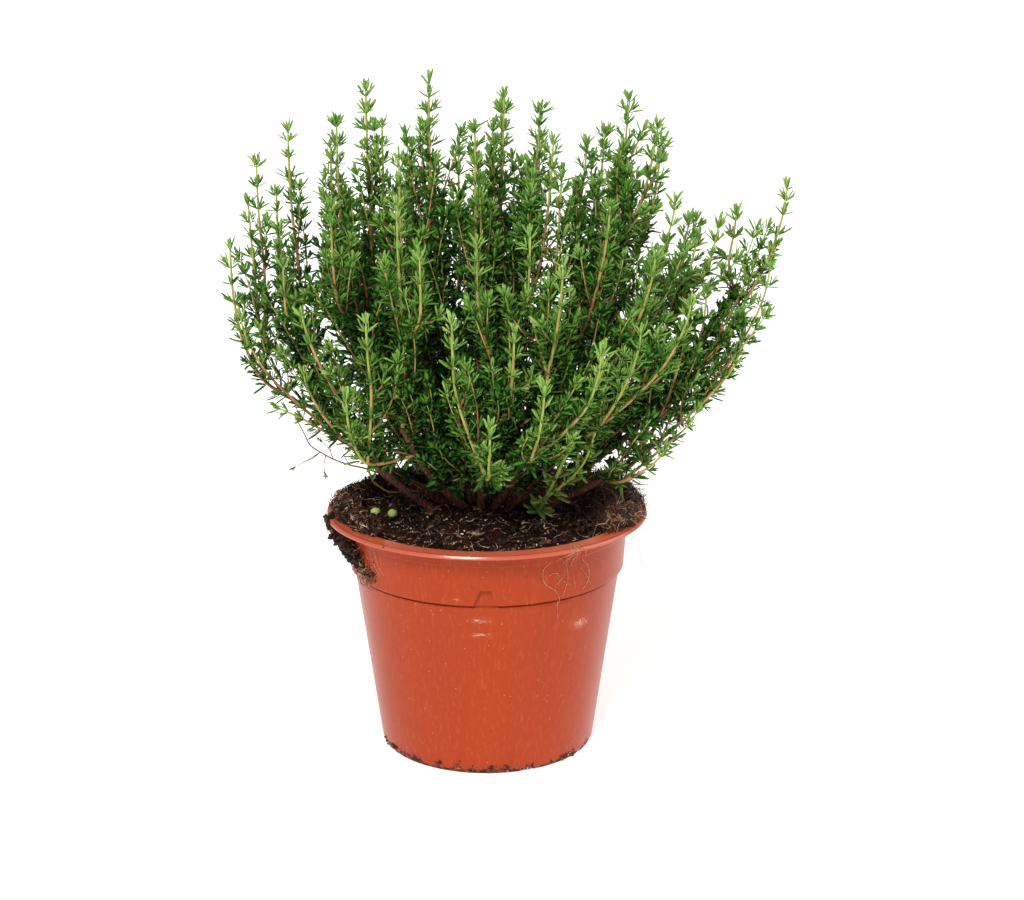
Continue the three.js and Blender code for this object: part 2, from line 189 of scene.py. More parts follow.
def revolved(profile: Sequence[tuple[float, float]], segments: int) -> tuple[Array, Faces]:
    """Turns a profile about the Z axis into a closed skin.

    Args:
        profile: (radius, height) pairs that go up the outside. The first and the last lie on the axis.
        segments: the number of steps round.

    Returns:
        The vertices, and the triangles at the axis and the quads between the rings.
    """
    rings = np.array(profile[1:-1])
    turn = 2.0 * np.pi * np.arange(segments) / segments
    around = np.stack((np.cos(turn), np.sin(turn)), axis=-1)
    heights = np.broadcast_to(rings[:, None, 1:], (len(rings), segments, 1))
    ring = np.concatenate((rings[:, None, :1] * around, heights), axis=-1)
    poles = np.array(((0.0, 0.0, profile[0][1]), (0.0, 0.0, profile[-1][1])))
    index = np.arange(ring.shape[0] * segments).reshape(ring.shape[:2])
    nxt = np.roll(index, -1, axis=1)
    low = np.full(segments, index.size)
    quads = np.stack((index[:-1], nxt[:-1], nxt[1:], index[1:]), axis=-1).reshape(-1, 4)
    first = np.stack((low, nxt[0], index[0]), axis=-1)
    last = np.stack((low + 1, index[-1], nxt[-1]), axis=-1)
    return np.concatenate((ring.reshape(-1, 3), poles)), [quads, first, last]


def rounded(corners: Sequence[tuple[float, float, float]], steps: int = 4) -> list[tuple[float, float]]:
    """Rounds the corners of a profile.

    Args:
        corners: (radius, height, size of the rounding) for each corner, where 0 leaves it sharp.
        steps: the number of steps in each rounding.

    Returns:
        (radius, height) pairs.
    """
    made: list[tuple[float, float]] = []
    for i, (x, y, size) in enumerate(corners):
        if size <= 0:
            made.append((x, y))
            continue
        here = np.array((x, y))
        before = here + unit(np.array(corners[i - 1][:2]) - here) * size
        after = here + unit(np.array(corners[i + 1][:2]) - here) * size
        for share in np.linspace(0.0, 1.0, steps + 1):
            point = mix(mix(before, here, share), mix(here, after, share), share)
            made.append((float(point[0]), float(point[1])))
    return made


def smooth_path(points: Array, count: int) -> Array:
    """Runs a smooth curve through points.

    Args:
        points: the places it passes, one row each.
        count: how many points to give back.

    Returns:
        Places on the curve.
    """
    padded = np.concatenate((2 * points[:1] - points[1:2], points, 2 * points[-1:] - points[-2:-1]))
    at = np.linspace(0, len(points) - 1 - 1e-6, count)
    i = at.astype(int)
    t = (at - i)[:, None]
    a, b, c, d = (padded[i + k] for k in range(4))
    bend, twist = 2 * a - 5 * b + 4 * c - d, 3 * b - a - 3 * c + d
    return 0.5 * (2 * b + (c - a) * t + bend * t ** 2 + twist * t ** 3)


def lumpy_tube(points: Array, radii: Array, sides: int,
               lumps: Sequence[tuple[float, float, int]]) -> tuple[Array, Faces]:
    """Sweeps one closed tube with an uneven skin.

    Args:
        points: the middle line.
        radii: the radius at each point.
        sides: the number of sides.
        lumps: the height, the width and the seed of each layer of lumps.

    Returns:
        The vertices, and the side faces and end caps.
    """
    vertices, faces = tubes(points[None], radii[None], sides)
    out = unit(vertices - np.repeat(points, sides, axis=0))
    rough = sum(high * value_noise(vertices, wide, seed) for high, wide, seed in lumps)
    return vertices + out * rough[:, None], faces


def growth_of(tone: Array | float, count: int, along: Array | float = 0.0) -> Array:
    """Gives the growth numbers of vertices.

    Args:
        tone: the tone or age of each.
        count: the number of vertices.
        along: the share along the stem of each.

    Returns:
        Four numbers for each vertex.
    """
    growth = np.zeros((count, 4))
    growth[:, 0], growth[:, 2] = along, tone
    return growth


@dataclass
class Piece:
    """One piece of the object: it gathers surfaces in millimetres and turns them into a Blender object.

    Attributes:
        name: the piece's name.
        slot: the record's material slot that its finish belongs to. It is not used.
        finishes: its materials, by index.
        replaces: the solids that it stands for.
    """

    name: str
    slot: str
    finishes: Sequence["Finish"]
    replaces: Sequence[str] = ()
    _vertices: list[Array] = field(default_factory=list)
    _growth: list[Array] = field(default_factory=list)
    _faces: list[tuple[Array, int, bool]] = field(default_factory=list)
    _count: int = 0

    def add(self, vertices: Array, faces: Faces, finish: int = 0, growth: Array | None = None,
            smooth: bool = True) -> None:
        """Adds a surface.

        Args:
            vertices: places in millimetres.
            faces: arrays of vertex numbers, one row for each face.
            finish: the index of its finish.
            growth: the four numbers of the growth attribute for each vertex.
            smooth: whether the surface is shaded smooth.
        """
        self._vertices.append(vertices)
        self._growth.append(np.zeros((len(vertices), 4)) if growth is None else growth)
        self._faces += [(rows + self._count, finish, smooth) for rows in faces if len(rows)]
        self._count += len(vertices)

    def build(self) -> bpy.types.Object:
        """Makes the object, gives it its finishes and puts it on the body.

        Returns:
            The object.
        """
        mesh = bpy.data.meshes.new(self.name)
        mesh.vertices.add(self._count)
        mesh.vertices.foreach_set("co", (np.concatenate(self._vertices) * METRES).astype(np.float32).ravel())
        corners = np.concatenate([rows.ravel() for rows, _, _ in self._faces])
        counts = [len(rows) for rows, _, _ in self._faces]
        sizes, finishes, smooth = (
            np.repeat(values, counts)
            for values in zip(*((rows.shape[1], finish, smooth) for rows, finish, smooth in self._faces)))
        mesh.loops.add(len(corners))
        mesh.loops.foreach_set("vertex_index", corners.astype(np.int32))
        mesh.polygons.add(len(sizes))
        mesh.polygons.foreach_set("loop_start", np.concatenate(([0], np.cumsum(sizes)[:-1])).astype(np.int32))
        mesh.polygons.foreach_set("material_index", finishes.astype(np.int32))
        mesh.polygons.foreach_set("use_smooth", smooth)
        mesh.update(calc_edges=True)
        colours = mesh.color_attributes.new(GROWTH, "FLOAT_COLOR", "POINT")
        colours.data.foreach_set("color", np.concatenate(self._growth).astype(np.float32).ravel())
        made = bpy.data.objects.new(self.name, mesh)
        bpy.context.scene.collection.objects.link(made)
        for finish in self.finishes:
            mesh.materials.append(finish.material())
        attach(made, BODY)
        if self.replaces:
            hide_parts(*self.replaces)
        LOG.info("%s: %d triangles", self.name, len(corners) - 2 * len(sizes))
        return made



# ---- finishes


def linear(hex_colour: int) -> Colour:
    """Turns an sRGB hex colour into linear light.

    Args:
        hex_colour: the colour as 0xRRGGBB.

    Returns:
        Red, green, blue and an alpha of 1.
    """
    channels = [(hex_colour >> shift & 255) / 255 for shift in (16, 8, 0)]
    red, green, blue = (c / 12.92 if c <= 0.04045 else ((c + 0.055) / 1.055) ** 2.4 for c in channels)
    return red, green, blue, 1.0


def per_mm(size: float) -> float:
    """Returns the texture scale that gives lumps of a size in millimetres."""
    return 1.0 / (size * METRES)


def ramp(places: Sequence[float], tones: Sequence[int]) -> list[tuple[float, Colour]]:
    """Returns the stops of a colour ramp, from their places and their sRGB hex colours."""
    return [(place, linear(tone)) for place, tone in zip(places, tones)]


def add_node(tree: bpy.types.NodeTree, kind: str, inputs: dict | Sequence = (),
             stops: Sequence[tuple[float, Colour]] = (), out: str = "",
             **settings: str) -> Socket | None:
    """Adds a node with its settings and links.

    Args:
        tree: the node tree.
        kind: the node's type, without the "ShaderNode" in front.
        inputs: a value, or the output to link, for each input by name or number, or just for the first ones
            in order. A map range's are its value, from min, from max, to min and to max.
        stops: places and colours, for a node with a colour ramp.
        out: the name of the output to return, where it isn't the first that is in use.
        settings: the node's own properties.

    Returns:
        One output of the node, or None if it has none.
    """
    node = tree.nodes.new(f"ShaderNode{kind}")
    for name, value in settings.items():
        setattr(node, name, value)
    for key, value in inputs.items() if isinstance(inputs, dict) else enumerate(inputs):
        if isinstance(value, Socket):
            tree.links.new(value, node.inputs[key])
        else:
            node.inputs[key].default_value = value
    for i, (place, colour) in enumerate(stops):
        elements = node.color_ramp.elements
        element = elements[i] if i < 2 else elements.new(place)
        element.position, element.color = place, colour
    return node.outputs[out] if out else next((socket for socket in node.outputs if socket.enabled), None)


@dataclass(frozen=True)
class Finish(ABC):
    """A material, and the colours and sizes that it is made from.

    Attributes:
        name: the material's name.
    """

    name: str

    def material(self) -> bpy.types.Material:
        """Gives the Blender material, which is made once.

        Returns:
            The material.
        """
        made = bpy.data.materials.get(self.name)
        if made is None:
            made = bpy.data.materials.new(self.name)
            made.use_nodes = True
            made.node_tree.nodes.clear()
            add = partial(add_node, made.node_tree)
            shader = add("BsdfPrincipled", self.surface(add, add("TexCoord", out="Object")))
            add("OutputMaterial", {"Surface": shader})
        return made

    @abstractmethod
    def surface(self, add: AddNode, place: Socket) -> dict:
        """Adds the nodes of the surface.

        Args:
            add: adds a node to the material's tree, as add_node does.
            place: the place on the object, in metres.

        Returns:
            The inputs of the shader.
        """


@dataclass(frozen=True)
class MouldedPolypropylene(Finish):
    """Injection-moulded polypropylene, pigmented terracotta: a satin skin that mirrors softly at its edges.

    Dust dulls it in faint upright smears, rubbed places turn chalky, and dried peat stays round the foot.
    The rim is rubbed by handling, so it is glossier than the wall. Its flat and its edge are painted paler
    than the wall, the flat most: painted light that makes up for the plant's shade on the rim.

    Attributes:
        rim: the heights between which the rim's paler tone, which is painted light, sets in.
        lip: the radii between which the flat of the rim turns into its outer edge.
        dirt_top: the height that dried peat reaches round the foot.
        scuffs: rubbed places on the front as (x, height, half width, half height).
    """

    name: str = "injection_moulded_polypropylene"
    pigment: int = 0xA83A0C
    deep: int = 0x9B330A
    dust: int = 0xC2704A
    chalk: int = 0xEDB9A2
    # Paler tones of the rim's flat and edge: painted light against the plant's shade on the rim.
    painted_light_rim_edge: int = 0xC65E43
    painted_light_rim_flat: int = 0xF2734F
    peat: int = 0x2E2018
    rim: tuple[float, float] = (96.4, 97.0)
    lip: tuple[float, float] = (63.0, 64.0)
    dirt_top: float = 6.8
    scuffs: Rows = (
        (-2.5, 68.2, 7.5, 2.0), (-2.0, 62.2, 7.0, 1.4), (37.0, 61.5, 6.5, 4.6), (6.2, 66.8, 1.0, 0.9),
        (17.0, 74.3, 5.5, 0.8), (-11.0, 77.5, 4.0, 0.8))

    def surface(self, add: AddNode, place: Socket) -> dict:
        """Adds the nodes of the plastic. See Finish.surface."""
        height = add("SeparateXYZ", (place,), out="Z")
        # Flow clouds of 14 mm, and dust of 1.1 mm, which is coarser than real dust so that it shows.
        upright = add("Mapping", {"Vector": place, "Scale": (1.0, 1.0, 0.22)})
        cloud = add("TexNoise", {"Vector": upright, "Scale": per_mm(14.0), "Detail": 3.0})
        tone = add("Mix", {FACTOR: cloud, A: linear(self.deep), B: linear(self.pigment)}, data_type="RGBA")
        fine = add("TexNoise", {"Vector": upright, "Scale": per_mm(1.1), "Detail": 5.0, "Roughness": 0.65})
        smear = add("MapRange", (fine, 0.52, 0.82, 0.0, 0.34))
        dusted = add("Mix", {FACTOR: smear, A: tone, B: linear(self.dust)}, data_type="RGBA")

        # Scratches 0.6 mm wide that lean, gathered where the front is rubbed.
        leaning = add("Mapping", {"Vector": place, "Rotation": (0.0, -0.45, 0.0), "Scale": (0.35, 1.0, 2.2)})
        scratch = add("TexNoise", {"Vector": leaning, "Scale": per_mm(0.6), "Detail": 4.0, "Roughness": 0.7})
        rubbed = []
        for x, z, wide, high in self.scuffs:
            away = add("VectorMath", (place, (x * METRES, 0.0, z * METRES)), operation="SUBTRACT")
            scaled = add("VectorMath", (away, (per_mm(wide), 0.0, per_mm(high))), operation="MULTIPLY")
            length = add("VectorMath", (scaled,), operation="LENGTH")
            rubbed.append(add("MapRange", (length, 1.1, 0.1, 0.0, 0.30)))
        worn = reduce(lambda one, two: add("Math", (one, two), operation="MAXIMUM"), rubbed)
        front = add("Math", (height.node.outputs["Y"], 0.0), operation="LESS_THAN")
        on_front = add("Math", (worn, front), operation="MULTIPLY")
        scuffed = add("Math", (on_front, scratch), operation="ADD")
        chalky = add("MapRange", (scuffed, 0.71, 0.92, 0.0, 0.75))
        wall = add("Mix", {FACTOR: chalky, A: dusted, B: linear(self.chalk)}, data_type="RGBA")

        # Painted light: the rim's flat and edge are painted paler than the wall, the flat most, against the
        # plant's shade on them.
        top = add("MapRange", (height, self.rim[0] * METRES, self.rim[1] * METRES, 0.0, 0.8))
        level = add("VectorMath", (place, (1.0, 1.0, 0.0)), operation="MULTIPLY")
        reach = add("VectorMath", (level,), operation="LENGTH")
        edge = add("MapRange", (reach, self.lip[0] * METRES, self.lip[1] * METRES))
        painted_light_rim = add("Mix", {
            FACTOR: edge, A: linear(self.painted_light_rim_flat), B: linear(self.painted_light_rim_edge)}, data_type="RGBA")
        wall_and_painted_rim = add("Mix", {FACTOR: top, A: wall, B: painted_light_rim}, data_type="RGBA")

        # Pale flecks that stand about 3.4 mm apart, and dark specks of peat about 6.5 mm apart.
        flecks = add("TexVoronoi", {"Vector": place, "Scale": per_mm(3.4)})
        fleck = add("MapRange", (flecks, 0.08, 0.04, 0.0, 0.42))
        flecked = add("Mix", {FACTOR: fleck, A: wall_and_painted_rim, B: linear(self.chalk)}, data_type="RGBA")
        specks = add("TexVoronoi", {"Vector": place, "Scale": per_mm(6.5)})
        speck = add("MapRange", (specks, 0.052, 0.03, 0.0, 0.7))

        # Dried peat in patches of 4 mm, thickest at the foot.
        low = add("MapRange", (height, self.dirt_top * METRES, 0.0, 0.0, 0.30))
        patches = add("TexNoise", {"Vector": place, "Scale": per_mm(4.0), "Detail": 6.0, "Roughness": 0.7})
        caked = add("Math", (low, patches), operation="ADD")
        dirt = add("MapRange", (caked, 0.71, 0.79, 0.0, 0.9))
        marks = add("Math", (dirt, speck), operation="MAXIMUM")
        colour = add("Mix", {FACTOR: marks, A: flecked, B: linear(self.peat)}, data_type="RGBA")

        # The skin is satin, duller under dust, chalk and peat, and glossier on the rim.
        dull = add("Math", (chalky, marks), operation="MAXIMUM")
        rough = add("MapRange", (dull, 0.0, 1.0, 0.30, 0.85))
        hazy = add("Math", (smear, 0.35, rough), operation="MULTIPLY_ADD")
        glossy = add("Math", (top, -0.15, hazy), operation="MULTIPLY_ADD")
        # The mould's grain is finer than the 0.7 mm drawn here, which is what the render can show.
        skin = add("TexNoise", {"Vector": place, "Scale": per_mm(0.7), "Detail": 3.0})
        grain = add("Bump", {"Strength": 0.25, "Distance": 0.08 * METRES, "Height": skin})
        lump = add("Bump", {"Strength": 0.7, "Distance": 0.4 * METRES, "Height": dirt, "Normal": grain})
        return {"Base Color": colour, "Roughness": glossy, "IOR": 1.49, "Specular IOR Level": 0.21,
                "Normal": lump, "Coat Weight": top, "Coat Roughness": 0.24}


@dataclass(frozen=True)
class MoistPeat(Finish):
    """Milled peat, moist: red brown where fibres dry out, with small wet glints. Its grit sets both its bump
    and its tone, so it is painted near black in the bump's hollows: painted shade over its own dark brown.
    """

    name: str = "moist_milled_peat"
    tones: tuple[int, ...] = (0x040100, 0x160904, 0x4A2818, 0xAC8A72)
    crumbly: int = 0x54240F

    def surface(self, add: AddNode, place: Socket) -> dict:
        """Adds the nodes of the peat. See Finish.surface."""
        # Grit of 1.3 mm, with dry crumbly drifts 13 mm wide that are made of grains of 0.9 mm.
        grit = add("TexNoise", {"Vector": place, "Scale": per_mm(1.3), "Detail": 7.0, "Roughness": 0.72})
        # Painted shade: the grit that raises the bump also sets the tone, darkest in the bump's hollows.
        grit_tone_and_shade = add("ValToRGB", (grit,), stops=ramp((0.38, 0.52, 0.65, 0.77), self.tones))
        drift = add("TexNoise", {"Vector": place, "Scale": per_mm(13.0), "Detail": 1.0})
        patch = add("MapRange", (drift, 0.54, 0.62, 0.0, 0.8))
        grain = add("TexVoronoi", {"Vector": place, "Scale": per_mm(0.9)})
        grainy = add("MapRange", (grain, 0.55, 0.15, 0.1, 1.0))
        dry = add("Math", (patch, grainy), operation="MULTIPLY")
        colour = add("Mix", {FACTOR: dry, A: grit_tone_and_shade, B: linear(self.crumbly)}, data_type="RGBA")
        # Wet films 2.2 mm wide give the glints.
        wet = add("TexNoise", {"Vector": place, "Scale": per_mm(2.2), "Detail": 2.0})
        rough = add("MapRange", (wet, 0.3, 0.7, 0.45, 0.95))
        crumb = add("Bump", {"Strength": 0.9, "Distance": 0.7 * METRES, "Height": grit})
        return {"Base Color": colour, "Roughness": rough, "IOR": 1.4, "Specular IOR Level": 0.16,
                "Normal": crumb}


@dataclass(frozen=True)
class LooseFibre(Finish):
    """Bits of peat, root and bark. Each bit has a tone of its own, from black to dry tan and chalk white."""

    name: str = "dry_root_and_bark_fibre"
    tones: tuple[int, ...] = (0x0B0402, 0x371C11, 0x77452A, 0xBC8A5A, 0xEFE2C8)
    places: tuple[float, ...] = (0.0, 0.45, 0.70, 0.88, 1.0)

    def surface(self, add: AddNode, place: Socket) -> dict:
        """Adds the nodes of the bits. See Finish.surface."""
        own = add("SeparateColor", (add("Attribute", attribute_name=GROWTH),), out="Blue")
        # Streaks of 0.8 mm, as wide as the larger bits.
        streak = add("TexNoise", {"Vector": place, "Scale": per_mm(0.8), "Detail": 4.0, "Roughness": 0.6})
        shade = add("MapRange", (streak, 0.3, 0.7, -0.12, 0.12))
        tone = add("Math", (own, shade), operation="ADD")
        colour = add("ValToRGB", (tone,), stops=ramp(self.places, self.tones))
        rough = add("MapRange", (streak, 0.0, 1.0, 0.6, 0.95))
        bump = add("Bump", {"Strength": 0.6, "Distance": 0.2 * METRES, "Height": streak})
        return {"Base Color": colour, "Roughness": rough, "IOR": 1.5, "Normal": bump}


@dataclass(frozen=True)
class CoatedFertiliser(Finish):
    """Resin-coated fertiliser: a smooth pale green bead with a faint mottle and a soft shine."""

    name: str = "resin_coated_fertiliser"
    light: int = 0xE4F09A
    dark: int = 0x8EB83C

    def surface(self, add: AddNode, place: Socket) -> dict:
        """Adds the nodes of the bead. See Finish.surface."""
        # The mottle's blots are 1.4 mm wide, less than half of the bead.
        mottle = add("TexNoise", {"Vector": place, "Scale": per_mm(1.4), "Detail": 4.0})
        colour = add("Mix", {FACTOR: mottle, A: linear(self.dark), B: linear(self.light)}, data_type="RGBA")
        rough = add("MapRange", (mottle, 0.0, 1.0, 0.35, 0.7))
        bump = add("Bump", {"Strength": 0.3, "Distance": 0.2 * METRES, "Height": mottle})
        return {"Base Color": colour, "Roughness": rough, "IOR": 1.5, "Normal": bump}


@dataclass(frozen=True)
class ThymeBark(Finish):
    """Bark of old thyme wood: thin grey brown strips that peel lengthwise off a redder layer."""

    name: str = "peeling_thyme_bark"
    tones: tuple[int, ...] = (0x200E09, 0x54291E, 0x8E5640, 0xBE8A69)

    def surface(self, add: AddNode, place: Socket) -> dict:
        """Adds the nodes of the bark. See Finish.surface."""
        # Strips 0.8 mm wide and six times as long.
        lengthwise = add("Mapping", {"Vector": place, "Scale": (1.0, 1.0, 0.16)})
        strip = add("TexNoise", {"Vector": lengthwise, "Scale": per_mm(0.8), "Detail": 5.0, "Roughness": 0.7})
        colour = add("ValToRGB", (strip,), stops=ramp((0.30, 0.47, 0.62, 0.78), self.tones))
        rough = add("MapRange", (strip, 0.0, 1.0, 0.6, 0.95))
        bump = add("Bump", {"Strength": 0.9, "Distance": 0.4 * METRES, "Height": strip})
        return {"Base Color": colour, "Roughness": rough, "IOR": 1.5, "Normal": bump}


@dataclass(frozen=True)
class SquareStemSkin(Finish):
    """Skin of a square thyme stem: yellow green and downy when young, tan and then red brown as it ages."""

    name: str = "downy_thyme_stem"
    tones: tuple[int, ...] = (0xA2C054, 0xA8A24E, 0xC0995E, 0x95603E, 0x4E281A)

    def surface(self, add: AddNode, place: Socket) -> dict:
        """Adds the nodes of the stem. See Finish.surface."""
        own = add("SeparateColor", (add("Attribute", attribute_name=GROWTH),), out="Blue")
        # The age drifts over 9 mm, which is more than the space between two pairs of leaves.
        blotch = add("TexNoise", {"Vector": place, "Scale": per_mm(9.0), "Detail": 4.0})
        drift = add("MapRange", (blotch, 0.3, 0.7, -0.16, 0.16))
        age = add("Math", (own, drift), operation="ADD")
        colour = add("ValToRGB", (age,), stops=ramp((0.06, 0.34, 0.56, 0.78, 1.0), self.tones))
        # Down of 0.5 mm, coarser than the real hairs, which are too fine to show.
        down = add("TexNoise", {"Vector": place, "Scale": per_mm(0.5), "Detail": 3.0})
        rough = add("MapRange", (down, 0.0, 1.0, 0.45, 0.75))
        bump = add("Bump", {"Strength": 0.5, "Distance": 0.15 * METRES, "Height": down})
        return {"Base Color": colour, "Roughness": rough, "IOR": 1.45, "Normal": bump}


@dataclass(frozen=True)
class ThymeLeaf(Finish):
    """A thyme leaf: waxy above, with a sunk vein and oil dots, and paler and duller underneath. The vein is
    painted lighter: partly its own paler tone, partly a painted highlight along the fold.
    """

    name: str = "waxy_thyme_leaf"
    tones: tuple[int, ...] = (0xA2C666, 0x5E9234, 0x295C10, 0x0F3304, 0x8C7B50)
    # The vein's tone: its own paler green with a painted highlight in it.
    vein: int = 0x96BC66
    under: int = 0x6E9A40

    def surface(self, add: AddNode, place: Socket) -> dict:
        """Adds the nodes of the leaf. See Finish.surface."""
        own = add("Attribute", attribute_name=GROWTH)
        parts = add("SeparateColor", (own,)).node
        along, side, age = (parts.outputs[name] for name in ("Red", "Green", "Blue"))
        spread = add("MapRange", (own.node.outputs["Alpha"], 0.0, 1.0, -0.15, 0.09))
        older = add("Math", (age, spread), operation="ADD")
        to_tip = add("Math", (along, -0.12, older), operation="MULTIPLY_ADD")
        blade = add("ValToRGB", (to_tip,), stops=ramp((0.0, 0.30, 0.60, 0.95, 1.0), self.tones))
        # Mottle of 1.6 mm, about the width of a leaf.
        mottle = add("TexNoise", {"Vector": place, "Scale": per_mm(1.6), "Detail": 3.0})
        shade = add("MapRange", (mottle, 0.3, 0.7, 0.85, 1.15))
        mottled = add("VectorMath", {0: blade, "Scale": shade}, operation="SCALE")
        # The vein row is painted lighter: partly the vein's own tone, partly a painted highlight along the
        # fold.
        ridge = add("MapRange", (side, 0.93, 1.0, 0.0, 0.45))
        vein_highlighted = add("Mix", {FACTOR: ridge, A: mottled, B: linear(self.vein)}, data_type="RGBA")
        below = add("MapRange", (side, 0.5, 0.3, 0.0, 0.5))
        colour = add("Mix", {FACTOR: below, A: vein_highlighted, B: linear(self.under)}, data_type="RGBA")
        # Oil dots 0.45 mm apart, where real ones stand a little closer.
        dots = add("TexVoronoi", {"Vector": place, "Scale": per_mm(0.45)})
        dull = add("MapRange", (below, 0.0, 0.55, 0.36, 0.7))
        bump = add("Bump", {"Strength": 0.35, "Distance": 0.1 * METRES, "Height": dots})
        return {"Base Color": colour, "Roughness": dull, "IOR": 1.45, "Specular IOR Level": 0.24,
                "Normal": bump}


@dataclass(frozen=True)
class OpalAcrylic(Finish):
    """Opal acrylic sheet lit softly from below: matt and white, so that shadows on it stay faint."""

    name: str = "lit_opal_acrylic"
    white: int = 0xF6F5F3
    shade: int = 0xF1F0EE
    glow: float = 0.6

    def surface(self, add: AddNode, place: Socket) -> dict:
        """Adds the nodes of the sheet. See Finish.surface."""
        # Clouds 400 mm wide, as a large sheet is lit.
        drift = add("TexNoise", {"Vector": place, "Scale": per_mm(400.0)})
        colour = add("Mix", {FACTOR: drift, A: linear(self.white), B: linear(self.shade)}, data_type="RGBA")
        return {"Base Color": colour, "Roughness": 0.9, "Emission Color": linear(self.white),
                "Emission Strength": self.glow}


PLASTIC = MouldedPolypropylene()
PEAT = MoistPeat()
FIBRE = LooseFibre()
BEAD = CoatedFertiliser()
BARK = ThymeBark()
STEM = SquareStemSkin()
LEAF = ThymeLeaf()


# ---- pot


